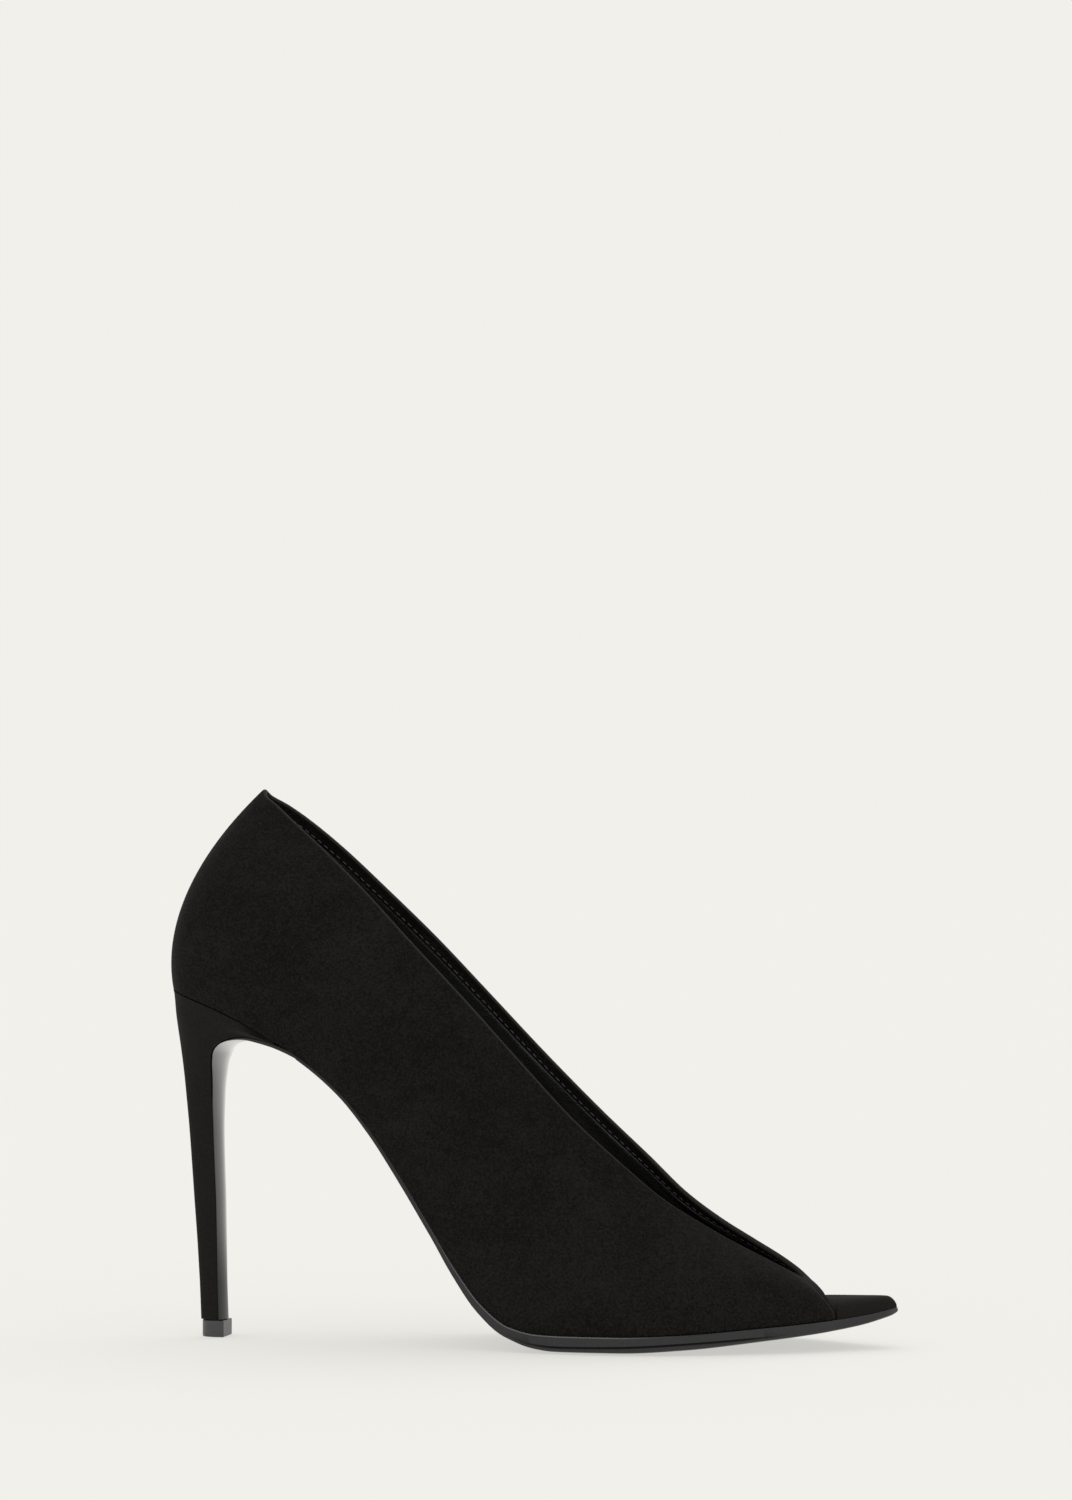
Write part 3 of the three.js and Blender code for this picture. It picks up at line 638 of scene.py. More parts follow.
def beads(centres, inward, half_length, half_width):
    """A spindle at each centre: six rings of six points, thin at the ends, along the line."""
    forward = np.roll(centres, -1, 0) - np.roll(centres, 1, 0)
    forward /= np.linalg.norm(forward, axis=1, keepdims=True)
    across = np.cross(forward, inward)
    s = np.linspace(-1, 1, 6)
    a = np.arange(6) * np.pi / 3
    reach = s[:, None] + 0 * a
    thick = np.sqrt(np.maximum(1 - np.abs(s) ** 2.5, 0.02))[:, None]
    sideways, proud = thick * np.cos(a), thick * np.sin(a)
    grid = (reach[None, ..., None] * half_length * forward[:, None, None]
            + sideways[None, ..., None] * half_width * across[:, None, None]
            + proud[None, ..., None] * half_width * inward[:, None, None])
    return centres[:, None, None] + grid


def stitch_row(name, centres, inward):
    """All beads of a row as one mesh, each closed at its ends."""
    grid = beads(centres, inward, STITCH_LENGTH / 2, STITCH_HALF)
    count, rows, columns = grid.shape[:3]
    flat = in_frame(grid)
    quads, ends = outward_faces(flat[: rows * columns], rows, columns, False)
    offsets = (np.arange(count) * rows * columns)[:, None, None]
    faces = (quads[None] + offsets).reshape(-1, 4).tolist()
    for end in ends:
        faces += (end[None] + offsets[:, 0]).tolist()
    print(name, "stitches", count)
    return shoe_object(name, flat, faces)


stitch_up = facing_top + STITCH_ABOVE_LINING / rib_lengths
centres, inward = along_ring(ring, stitch_up, WALL + STITCH_PROUD)
stitches = stitch_row("topline_stitches", centres, inward)

# %% [markdown]
# ## Outline of the sole
#
# The sole's edge follows the upper's foot line, a little outside it at the forefoot and well
# inside it under the arch, and runs on past the peep to a point. The insole's edge is the same
# line drawn inside the wall. Both are read off as half widths for any place along the shoe.

# %% Sole outline
TOE = table("foot outer inner", [
    [0.944, 0.112, 0.18], [0.966, 0.062, 0.142], [0.984, 0.012, 0.104], [0.996, -0.032, 0.072],
])
INSIDE = WALL + CLEARANCE * 1.6
TIP = TOE["foot"][-1] * LENGTH
BEFORE_CORNER = np.array([10.0, 4.0, 0.0])
PER_RIB = 12
samples = foot_line(np.arange(RIBS * PER_RIB) / (RIBS * PER_RIB))
ahead = np.roll(samples, -1, 0) - np.roll(samples, 1, 0)
ahead[:, 2] = 0
ahead /= np.linalg.norm(ahead, axis=1, keepdims=True)
inside_samples = samples + INSIDE * np.stack([-ahead[:, 1], ahead[:, 0], 0 * ahead[:, 0]], 1)


def half_reader(line, side):
    """Half width over X on one side of a line round the shoe, up to the peep's corner."""
    reach = CORNER * PER_RIB + 1
    chosen = line[1:reach] if side < 0 else line[1 - reach:][::-1]
    xs = np.maximum.accumulate(chosen[:, 0])
    return lambda x: np.interp(x, xs, np.abs(chosen[:, 1]))


foot_half = {side: half_reader(samples, side) for side in (-1, 1)}
inside_half = {side: half_reader(inside_samples, side) for side in (-1, 1)}
peep_corner = {
    -1: FOOT["foot"][CORNER] * LENGTH,
    1: (FOOT["foot"][CORNER] - FOOT["skew"][CORNER]) * LENGTH,
}


def sole_margin(x):
    """How far the sole's edge lies outside the upper: less than nothing under the arch."""
    return mix(-WAIST_INSET, SOLE_STAND, eased(x / LENGTH, 0.2, 0.5))


def toe_edge(side):
    """Half width of the toe, from the foot line at the peep's corner to the tip."""
    joins = peep_corner[side] - BEFORE_CORNER
    halves = foot_half[side](joins) + sole_margin(joins)
    name = "outer" if side < 0 else "inner"
    return through([*joins, *TOE["foot"] * LENGTH], [*halves, *TOE[name] * BALL_WIDTH])


toe_edges = {side: toe_edge(side) for side in (-1, 1)}


def sole_edge(side, x):
    """Half width of the sole on one side."""
    on_foot = x < peep_corner[side] - BEFORE_CORNER[1]
    return np.where(on_foot, foot_half[side](x) + sole_margin(x), toe_edges[side](x))


for place in (0.25, 0.45, 0.75, 0.95):
    print("sole at", place, "of the length:", sole_edge(-1, place * LENGTH).round(1), "outer,",
          sole_edge(1, place * LENGTH).round(1), "inner")

# %% [markdown]
# ## Outsole
#
# The sole is one strip of leather carried along a path: from the toe back under the foot,
# through the arch, round the bend and down the front of the heel to its tip. It could be a
# curve with a bevel, but then its cross section couldn't change. Here each step of the path
# has a section of its own: a flat top, a small bead that catches the light at the upper edge,
# a side with a fine groove round the ball, and a well rounded lower edge. Down the heel the
# underside is crowned, and it is drawn a millimetre forward of its solid, so that the polished
# leather shows its light edge as the real one does.
#
# The first table gives the sole's thickness, and the second the flap: the line where it meets
# the heel, its half width, and the heel's back at the same level.

# %% Thickness and flap
SOLE = table("along thick", [
    [0.17, 0.265], [0.346, 0.29], [0.39, 0.29], [0.424, 0.37], [0.462, 0.5], [0.5, 0.68],
    [0.53, 0.88], [0.56, 1.0], [0.65, 1.0], [0.73, 0.95], [0.82, 0.82], [0.9, 0.66],
    [0.95, 0.52], [1.0, 0.26],
])
BREAST = table("along high half back back_high", [
    [0.167, 0.8378, 0.256, 0.0088, 0.982], [0.149, 0.8487, 0.247, 0.0091, 0.968],
    [0.117, 0.8588, 0.236, 0.0098, 0.952], [0.0866, 0.847, 0.217, 0.0109, 0.93],
    [0.071, 0.824, 0.193, 0.0126, 0.896], [0.0645, 0.791, 0.166, 0.0148, 0.85],
    [0.0619, 0.743, 0.134, 0.0174, 0.79], [0.061, 0.706, 0.115, 0.0194, 0.74],
    [0.0606, 0.668, 0.103, 0.0214, 0.69], [0.0606, 0.588, 0.084, 0.0252, 0.6],
    [0.0619, 0.489, 0.079, 0.029, 0.495], [0.0636, 0.389, 0.075, 0.0325, 0.392],
    [0.0654, 0.271, 0.0715, 0.0368, 0.272], [0.0671, 0.154, 0.069, HEEL_TIP_BACK, 0.154],
])
FLAP_FORWARD = 1.0
FLAP_CROWN = 0.25
BEND_NARROWED = 0.1
breast_rows = np.arange(len(BREAST["along"]))
breast_line = np.stack([BREAST["along"] * LENGTH, BREAST["high"] * HEEL_HEIGHT], 1)
breast_step = np.gradient(breast_line, axis=0)
breast_step /= np.linalg.norm(breast_step, axis=1, keepdims=True)
away = np.stack([-breast_step[:, 1], breast_step[:, 0]], 1)
forward_share = eased(breast_rows, 2, 6) * (1 - 0.4 * eased(breast_rows, 11, 13))
breast_line = breast_line + FLAP_FORWARD * forward_share[:, None] * away
bend_share = eased(breast_rows, 1, 4) * (1 - eased(breast_rows, 6, 9))
breast_half = through(breast_rows, BREAST["half"] * BALL_WIDTH * (1 - BEND_NARROWED * bend_share))
sole_share = through(SOLE["along"], SOLE["thick"])
print("sole", SOLE_THICKNESS, "mm thick at the ball, flap from",
      breast_line[0, 1].round(1), "down to", breast_line[-1, 1].round(1), "mm")

# %% Path of the sole
GROOVE_STARTS, GROOVE_ENDS = (112, 130), (186, 202)
ARCH_END = 0.2 * LENGTH
# The solid's last step before the arch ends: with it both run round the bend alike.
BEFORE_ARCH_END = ARCH_END + (TIP - ARCH_END) * np.cos(45 / 46 * np.pi / 2) ** 1.15
SNUG = 0.2
SOLE_TIP_RADIUS = 2.4
FLAP_END_FORWARD = 0.4
BED_STEPS = 200
FLAP_STEPS = 150


def grooved(x):
    """Share of the fine groove round the edge: full at the ball, none at arch and tip."""
    return eased(x, *GROOVE_STARTS) * (1 - eased(x, *GROOVE_ENDS))


def groove_at(x):
    """Depth of the groove as a share of the thickness."""
    along = x / LENGTH
    return 0.62 - 0.08 * eased(along, 0.57, 0.7) + 0.1 * eased(along, 0.74, 0.84)


def rounded_end(x, end, radius):
    """1 up to a radius before the end, then a quarter circle down to almost nothing."""
    past = np.clip((x - end + radius) / radius, 0, 0.995)
    return np.sqrt(1 - past ** 2)


def bed_part():
    """The columns of sole_path from the tip to the end of the arch."""
    share = np.linspace(0, 1, BED_STEPS)
    forward = mix(TIP, ARCH_END, mix(1 - np.cos(share * np.pi / 2), share ** 2, 0.5))
    x, z = under_bed(forward, CLEARANCE - SNUG)
    tip = rounded_end(forward, TIP, SOLE_TIP_RADIUS)
    outer, inner = sole_edge(-1, forward), sole_edge(1, forward)
    middle = (inner - outer) / 2
    half = (inner + outer) / 2 * tip
    thick = sole_share(forward / LENGTH) * SOLE_THICKNESS * mix(0.4, 1, tip) + SNUG
    return [x, z, half - middle, half + middle, thick, 0 * x, 0 * x, grooved(forward),
            groove_at(forward)]


def flap_part():
    """The columns of sole_path from the end of the arch round the bend to the heel's tip."""
    joins = np.stack(under_bed(np.array([BEFORE_ARCH_END, ARCH_END]), CLEARANCE - SNUG), 1)
    foot = [breast_line[-1, 0] + FLAP_END_FORWARD, TOP_PIECE_HEIGHT + CLEARANCE]
    nodes = np.concatenate([joins, breast_line, [foot]])
    spans = len(nodes) - 1
    reach = np.linspace(1, spans, FLAP_STEPS)[1:]
    path = centripetal(np.insert(nodes, 1, 0, axis=1))(reach / spans)
    half = breast_half(np.clip(reach - 2, 0, len(breast_line) - 1))
    joined = np.minimum(reach - 1, 1)
    outer = mix(sole_edge(-1, ARCH_END), half, joined)
    inner = mix(sole_edge(1, ARCH_END), half, joined)
    flap = eased(reach, 2.5, 5.5)
    return [path[:, 0], path[:, 2], outer, inner, FLAP_THICKNESS + FLAP_CROWN * flap, flap,
            eased(reach, 13.2, 15.2), 0 * half, 0 * half + groove_at(0)]


def sole_path():
    """X, Z, outer and inner half width, thickness, shares of flap, of the flap's lower part
    and of the groove, and the groove's depth at each step."""
    return [np.concatenate(pair) for pair in zip(bed_part(), flap_part())]


x, z, outer, inner, thick, flap, low, groove, at = sole_path()
print("path of the sole", np.hypot(np.diff(x), np.diff(z)).sum().round(1), "mm long")

# %% Section of the sole
GROOVE_DEPTH = 0.6
GROOVE_HALF = 0.42
BEAD = 0.35
CROWN_EDGE = 0.22


def sole_section(half, thick, flap, groove, at):
    """Loop of (side, depth) in millimetres: top bead, side with its groove, lower edge and
    underside. The underside is flat with a round edge, but on the flap it is crowned: its
    depth goes from the crown's edge to the full thickness as 1 - s squared, at the share s of
    the side."""
    bead = np.minimum(BEAD, thick * 0.2)
    turn = np.linspace(0, np.pi / 2, 6)
    bend = np.linspace(0, np.pi / 2, 14)
    cut = GROOVE_DEPTH * groove
    wide = np.minimum(mix(0.02, GROOVE_HALF, groove), thick * 0.085)

    def crowned(s, flat):
        return s, mix(flat, thick * (CROWN_EDGE + (1 - CROWN_EDGE) * (1 - s * s)), flap)

    upper = [(half - bead * (1 - np.sin(a)), bead * (1 - np.cos(a))) for a in turn]
    sides = [
        (half - cut * into, mix(at * thick + wide * down, mix(bead, CROWN_EDGE * thick, s), flap))
        for into, down, s in ((0, -1, 0.2), (1, -0.4, 0.4), (1, 0.4, 0.6), (0.5, 1, 0.8))]
    lower = [crowned(0.62 + 0.38 * np.cos(a), thick * (0.8 + 0.2 * np.sin(a))) for a in bend]
    under = [crowned(s, thick) for s in (0.5, 0.4, 0.3, 0.2, 0.1)]
    lower = [((half - 0.5 * cut) * s, d) for s, d in lower + under]
    inside = [(half * s, 0 * half) for s in (0.25, 0.5, 0.75)]
    one_side = inside + upper + sides + lower
    middle_low, middle_top = [(0 * half, thick)], [(0 * half, 0 * half)]
    mirrored = [(-s, d) for s, d in one_side[::-1]]
    return [np.stack(c, 1) for c in zip(*(middle_top + one_side + middle_low + mirrored))]


side, depth = sole_section((inner + outer) / 2, thick, flap, groove, at)
print("points round the sole", side.shape[1])

# %% [markdown]
# The section is now set square to the path at every step. Four marks go with it, for the
# sole's material: how far a point is on the flap, how low on the flap, whether it lies in the
# groove, where shade is painted, and whether it lies on the bead along the waist, where a
# highlight is painted.

# %% Outsole
BEAD_HIGHLIGHT_DEPTH = 0.25
SIDES_FROM = 4.0
WAIST_STARTS, WAIST_ENDS = (60, 90), (145, 170)
dx, dz = np.gradient(x), np.gradient(z)
size = np.hypot(dx, dz)
middle = ((inner - outer) / 2)[:, None]
sole_grid = np.stack([
    x[:, None] - (dz / size)[:, None] * depth,
    middle + side,
    z[:, None] + (dx / size)[:, None] * depth,
], 2)
in_groove = (np.abs(depth - (at * thick)[:, None]) < GROOVE_HALF * 0.6) * groove[:, None]
waist = eased(x, *WAIST_STARTS) * (1 - eased(x, *WAIST_ENDS)) * (1 - flap)
# Where a highlight is painted on the sole's top bead along the waist.
bead_highlight = (depth < BEAD_HIGHLIGHT_DEPTH) * (np.abs(side) > SIDES_FROM) * waist[:, None]
outsole = piece("outsole_leather", sole_grid, sharp=50, flap=flap[:, None], low=low[:, None],
                groove=in_groove, bead=bead_highlight)
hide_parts("outsole")

# %% [markdown]
# ## Insole and toe bed
#
# The foot stands on a thin board covered with a leather sock. Past the peep the board shows,
# thicker and wrapped in suede, and ends in the pointed tip. They are two closed pieces with
# one outline: the suede wrap starts under the peep, a hair prouder than the board it covers.
# The sock reaches out until it touches the lining, as glued leather does, so that no light
# gets past it.

# %% Outline of the insole
COVER = table("along heel toe", [
    [0.0, 1, 0], [0.55, 1, 0], [0.8, 0.35, 0.6], [0.89, 0, 1.1], [0.92, 0, 1.05],
    [0.957, 0, 0.9], [0.983, 0, 0.7], [1.0, 0, 0.46],
])
TUCK = {-1: -1.1, 1: 2.2}
heel_cover = through(COVER["along"], COVER["heel"])
toe_cover = through(COVER["along"], COVER["toe"])
BED_START = FOOT["foot"][0] * LENGTH + INSIDE + CLEARANCE
BED_END = TIP - TOE_BED_INSET * 0.3


def opened(side, x):
    """Share of the way past the peep's corner, where the bed takes the sole's full width."""
    return eased(x - peep_corner[side], -0.3, 0.9)


def tucked(side, x):
    """Share by which the bed draws in under the upper beside the peep."""
    return eased(x - peep_corner[side], -16, -5) * (1 - opened(side, x))


def insole_edge(side, x):
    """Half width of the insole on one side: inside the wall, then the sole's own."""
    within = np.minimum(inside_half[side](x), foot_half[side](x) - INSIDE)
    within = within - tucked(side, x) * TUCK[side]
    return mix(within, sole_edge(side, x) - TOE_BED_INSET, opened(side, x))


print("bed from", round(BED_START, 1), "to", round(BED_END, 1), "mm")

# %% Insole and toe bed
SOCK_REACH = 0.95
WRAP_PROUD = 0.12
WRAP_START = 0.84 * LENGTH
WRAP_OVERLAP = 4
TIP_HEIGHT_RADIUS = 3.4
TIP_WIDTH_RADIUS = 2.2
SQUARE = 0.16
SOFT_SIDE, SOFT_TOP = 0.66, 0.62
ARCHED_STEPS = 49
UNDER_STEPS = 12


def bed_board(x, grow=0.0, reach=0.0):
    """Cross sections of the board: half a superellipse, y by a power of the cosine and z by
    a power of the sine, square inside the shoe and softly crowned at the toe. reach widens it
    as far as the ball, until the sock touches the lining."""
    tip = rounded_end(x, BED_END, TIP_HEIGHT_RADIUS)
    height = (heel_cover(x / LENGTH) * INSOLE_THICKNESS
              + toe_cover(x / LENGTH) * TOE_BED_THICKNESS) * tip + grow
    inner = np.maximum(insole_edge(1, x), 0.8)
    outer = np.minimum(-insole_edge(-1, x), inner - 1.6)
    middle, half = (inner + outer) / 2, (inner - outer) / 2
    half = half * rounded_end(x, BED_END, TIP_WIDTH_RADIUS) + grow
    half = half + reach * (1 - eased(x / LENGTH, 0.68, 0.78))
    soft = eased(x / LENGTH, 0.74, 0.86)[:, None]
    turn = np.linspace(0, np.pi, ARCHED_STEPS)[None, :]
    cosine, sine = np.cos(turn), np.maximum(np.sin(turn), 0)
    y = np.sign(cosine) * np.abs(cosine) ** mix(SQUARE, SOFT_SIDE, soft)
    z = sine ** mix(SQUARE, SOFT_TOP, soft)
    under = np.linspace(-1, 1, UNDER_STEPS + 2)[None, 1:-1]
    y = np.concatenate([y, under + 0 * soft], 1)
    z = np.concatenate([z, 0 * under + 0 * soft], 1)
    return np.stack([x[:, None] + 0 * y, middle[:, None] + half[:, None] * y,
                     bed_height(x)[:, None] + height[:, None] * z], 2)


sweep = (1 - np.cos(np.linspace(0, np.pi, 190))) / 2
board_x = mix(BED_START, WRAP_START + WRAP_OVERLAP, sweep)
insole = piece("insole_sock", bed_board(board_x, reach=SOCK_REACH), sharp=40)
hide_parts("insole")
wrap_x = mix(WRAP_START, BED_END, np.sin(np.linspace(0, np.pi / 2, 180)))
toe_bed = piece("toe_bed_suede", bed_board(wrap_x, grow=WRAP_PROUD), sharp=60)

# %% [markdown]
# ## Heel
#
# A stiletto is a slim block: its sections are round at the back and straight at the front,
# where the sole's flap covers them. A cylinder could be pulled into shape, but sections that
# lie between two curves, one down the back and one down the front, keep both outlines exact.
# The first section is the seat that the upper stands on. It is as wide as the upper at the
# back, so that both are flush, and its front end is narrow, so that it stays above the sole.

# %% Sections of the heel
ROUNDNESS = 2.9
HEEL_COLUMNS = 92


def around_heel():
    """Side and share from back to front of each point of a section, closer at the back."""
    turn = np.linspace(-1, 1, HEEL_COLUMNS)
    return np.sign(turn), np.abs(turn) ** 1.9


def heel_section(back, front, half):
    """A section: half width times the root of 1 minus (1 - share) to the roundness."""
    side, share = around_heel()
    y = side * half[:, None] * np.sqrt(1 - (1 - share) ** ROUNDNESS)
    x = mix(back[:, :1], front[:, :1], share)
    z = mix(back[:, 1:], front[:, 1:], share)
    return np.stack([x, y, z], 2)


print("points round the heel", HEEL_COLUMNS)

# %% Heel
GAP_BEHIND_FLAP = 0.09
SHOULDER_ROWS = 8.5
HEEL_ROWS = 130
SEAT_END_INSET = 0.3
SEAT_NARROWS = (27, 37)
BASE_BACK_INSET = 0.45
BASE_FRONT_STAND = 0.2


def heel_seat():
    """Side of each point of the seat, its half width and its place. Towards the front end the
    half width changes from the upper's to a little less than the sole's."""
    side, share = around_heel()
    x = mix(FOOT["foot"][0] * LENGTH + 0.6, BREAST["along"][0] * LENGTH - 1.2, share)
    under_upper = np.where(side < 0, foot_half[-1](x), foot_half[1](x))
    over_sole = np.where(side < 0, sole_edge(-1, x), sole_edge(1, x)) - SEAT_END_INSET
    half = mix(under_upper, over_sole, eased(x, *SEAT_NARROWS))
    return side, half, np.stack([x, side * half, bed_height(x) - CLEARANCE * 1.15], 1)


def heel_sections(side, seat_half):
    """Sections from the seat down to the tip, between the flap's line and the heel's back. The
    seat's width is lost little by little down the first ones, so that heel and upper are
    flush."""
    s = np.linspace(0, 1, HEEL_ROWS)
    upright = np.insert(breast_line, 1, 0, axis=1)
    rear = np.stack([BREAST["back"] * LENGTH, 0 * BREAST["back"],
                     BREAST["back_high"] * HEEL_HEIGHT], 1)
    front_line, rear_line = centripetal(upright), centripetal(rear)
    slant = front_line(np.minimum(s + 1e-4, 1)) - front_line(np.maximum(s - 1e-4, 0))
    slant /= np.linalg.norm(slant, axis=1, keepdims=True)
    behind = GAP_BEHIND_FLAP * np.stack([slant[:, 2], -slant[:, 0]], 1)
    rows = s * (len(breast_line) - 1)
    sections = heel_section(rear_line(s)[:, [0, 2]], front_line(s)[:, [0, 2]] + behind,
                            breast_half(rows))
    shoulder = np.clip(1 - rows / SHOULDER_ROWS, 0, 1)[:, None] ** 1.7
    sections[..., 1] = mix(sections[..., 1], side * seat_half, shoulder)
    return sections


def heel_grid():
    """Seat, a wedge under it, the sections, and the base that the top piece is nailed to."""
    side, seat_half, seat = heel_seat()
    sections = heel_sections(side, seat_half)
    base = TOP_PIECE_HEIGHT + CLEARANCE
    base_back = np.array([[BREAST["back"][-1] * LENGTH + BASE_BACK_INSET, base]])
    base_front = np.array([[breast_line[-1, 0] + BASE_FRONT_STAND, base]])
    foot = heel_section(base_back, base_front, np.array([TOP_PIECE_WIDTH / 2 - TOP_PIECE_STAND]))
    wedge = [mix(seat, sections[0], w) for w in (0.0, 0.03, 0.15, 0.35, 0.6, 0.85)]
    shank = [mix(sections[-1], foot[0], w) for w in (0.35, 0.7, 0.95, 1.0)]
    return np.concatenate([wedge, sections, shank])


heel = piece("heel_suede", heel_grid(), sharp=45)
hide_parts("heel")

# %% [markdown]
# ## Top piece
#
# The wear tip is a small block of hard rubber, a touch larger than the heel it is nailed to,
# with its edges broken so that they don't chip. A Bevel modifier would do as well. Here the
# same heel section is drawn in by a quarter circle at both ends, so that no modifier is left
# to apply.

# %% Top piece
TOP_PIECE_ROUNDING = 0.35


def top_piece_grid():
    """The heel's section at heights from the floor up, drawn in by a quarter circle at both
    ends, so that the edges are round."""
    turn = np.linspace(0, np.pi / 2, 7)
    radius = TOP_PIECE_ROUNDING
    shrink = np.concatenate([radius * (1 - np.sin(turn)), radius * (1 - np.cos(turn))])
    height = np.concatenate([radius * (1 - np.cos(turn)),
                             TOP_PIECE_HEIGHT - radius * (1 - np.sin(turn))])
    back = np.stack([TOP_PIECE_REAR + shrink, height], 1)
    front = np.stack([TOP_PIECE_REAR + TOP_PIECE_LENGTH - shrink, height], 1)
    return heel_section(back, front, TOP_PIECE_WIDTH / 2 - shrink)


top_piece = piece("top_piece_rubber", top_piece_grid(), sharp=50)
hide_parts("top_piece")

# %% [markdown]
# ## Writing shader maths
#
# Shader nodes are easier to read as sums than as boxes and wires. One small class stands for
# an output socket and adds a Math node whenever two of them are added or multiplied. A second
# one is the material being made: it adds any other node, sets its settings first, then joins
# or sets its sockets.


# %% Shader helpers
class Wire:
    """An output of a node. Sums and products of wires add Math nodes."""

    def __init__(self, finish, socket):
        self.finish, self.socket = finish, socket

    def math(self, operation, *values):
        """A Math node with this operation."""
        return self.finish.node("ShaderNodeMath", {"operation": operation}, dict(enumerate(values)))

    def __add__(self, other):
        return self.math("ADD", self, other)

    def __sub__(self, other):
        return self.math("SUBTRACT", self, other)

    def __rsub__(self, other):
        return self.math("SUBTRACT", other, self)

    def __mul__(self, other):
        return self.math("MULTIPLY", self, other)

    __radd__, __rmul__ = __add__, __mul__

    def away_from(self, centre):
        """Distance from a number, without its sign."""
        return self.math("ABSOLUTE", self - centre)

    def clamped(self, low=0.0, high=1.0):
        """Held between low and high."""
        return self.math("MINIMUM", self.math("MAXIMUM", self, low), high)


class Finish:
    """The nodes of a material, or of the world, while they are being made."""

    def __init__(self, owner):
        owner.use_nodes = True
        self.owner = owner
        self.tree = owner.node_tree
        self.tree.nodes.clear()

    def node(self, kind, settings=None, inputs=None, out=0):
        """Adds a node, sets its settings first and then its sockets, and gives one output."""
        made = self.tree.nodes.new(kind)
        for name, value in (settings or {}).items():
            setattr(made, name, value)
        for name, value in (inputs or {}).items():
            self.join(made.inputs[name], value)
        return Wire(self, made.outputs[out]) if made.outputs else None

    def join(self, socket, value):
        """Links a wire to the socket, or writes a plain value into it."""
        if isinstance(value, Wire):
            self.tree.links.new(value.socket, socket)
        else:
            socket.default_value = value

    def place(self):
        """Where a point is on its piece, in metres."""
        return self.node("ShaderNodeTexCoord", out="Object")

    def mark(self, name):
        """A number that the mesh carries at each point."""
        return self.node("ShaderNodeAttribute", {"attribute_name": name}, out="Fac")

    def stretched(self, vector, scale, turn=(0, 0, 0)):
        """Places pulled long where the scale is below 1, and turned by angles in radians."""
        return self.node("ShaderNodeMapping", None,
                         {"Vector": vector, "Scale": scale, "Rotation": turn})

    def noise(self, vector, per_metre, detail=2.0, roughness=0.5, distortion=0.0):
        """A soft random pattern with about so many spots to the metre."""
        return self.node("ShaderNodeTexNoise", None, {
            "Vector": vector, "Scale": per_metre, "Detail": detail, "Roughness": roughness,
            "Distortion": distortion})

    def colours(self, share, dark, light):
        """The first colour where share is 0, and the second where it is 1."""
        mixed = self.node("ShaderNodeMix", {"data_type": "RGBA"}, {0: share}, out=2)
        node = mixed.socket.node
        self.join(node.inputs[6], dark)
        self.join(node.inputs[7], light)
        return mixed

    def bump(self, height, strength, distance):
        """A relief, whose full height is the distance in metres."""
        return self.node("ShaderNodeBump", None,
                         {"Height": height, "Strength": strength, "Distance": distance})

    def finished(self, **sockets):
        """Ends the material with a Principled shader whose sockets have these values."""
        inputs = {name.replace("_", " "): value for name, value in sockets.items()}
        shader = self.node("ShaderNodeBsdfPrincipled", None, inputs)
        self.node("ShaderNodeOutputMaterial", None, {"Surface": shader})
        return self.owner


def new_finish(name):
    """The nodes of a new material."""
    return Finish(bpy.data.materials.new(name))


def paler(colour, times):
    """A colour made lighter by a factor."""
    return tuple(times * c for c in colour[:3]) + (1,)


def give(material, *objects):
    """Puts the material on the objects."""
    for made in objects:
        made.data.materials.append(material)
    print(material.name, "on", [made.name for made in objects])


print("twice a dark brown:", paler((0.02, 0.015, 0.01, 1), 2))

# %% [markdown]
# ## Suede
#
# Suede is the flesh side of the hide, raised into a nap of short fibres. It has no gloss, but
# fibres seen edge-on scatter light, and a little of Blender's sheen does that. Fingers and
# brushes lay the nap in patches, which are a little lighter or darker. Over them lie smaller
# clouds and a strong fine speckle, three noises in all, and a fourth one only roughens the
# surface. A picture of suede would show its edges and repeat, noise doesn't.
#
# A highlight is painted paler along the folded edges and along the edge of the strap, and the
# strap is painted darker, as shade on a band lying below the sides. Two thin grooves on the
# facing are painted near black, as the shade in them. The heel and the toe bed get a darker copy
# of the same suede, painted shade that keeps them as dark as the upper under this light, so one
# function makes both materials from two pairs of colours.


# %% Suede
FACING_GROOVES = (0.85, 1.5)
LINE_HALF = 0.13
FACING_GROOVE_SHADE = (0.0015, 0.0014, 0.0013, 1)
STRAP_HIGHLIGHT_AT = 0.12
STRAP_HIGHLIGHT_HALF = 0.28
EDGE_HIGHLIGHT_PALER = 2.4


def edge_line(finish, below):
    """1 on a thin line at a distance in millimetres below the topline, on the facing only."""
    near = 1 - finish.mark("below_edge").away_from(below) * (1 / LINE_HALF)
    return near.clamped() * finish.mark("inside")


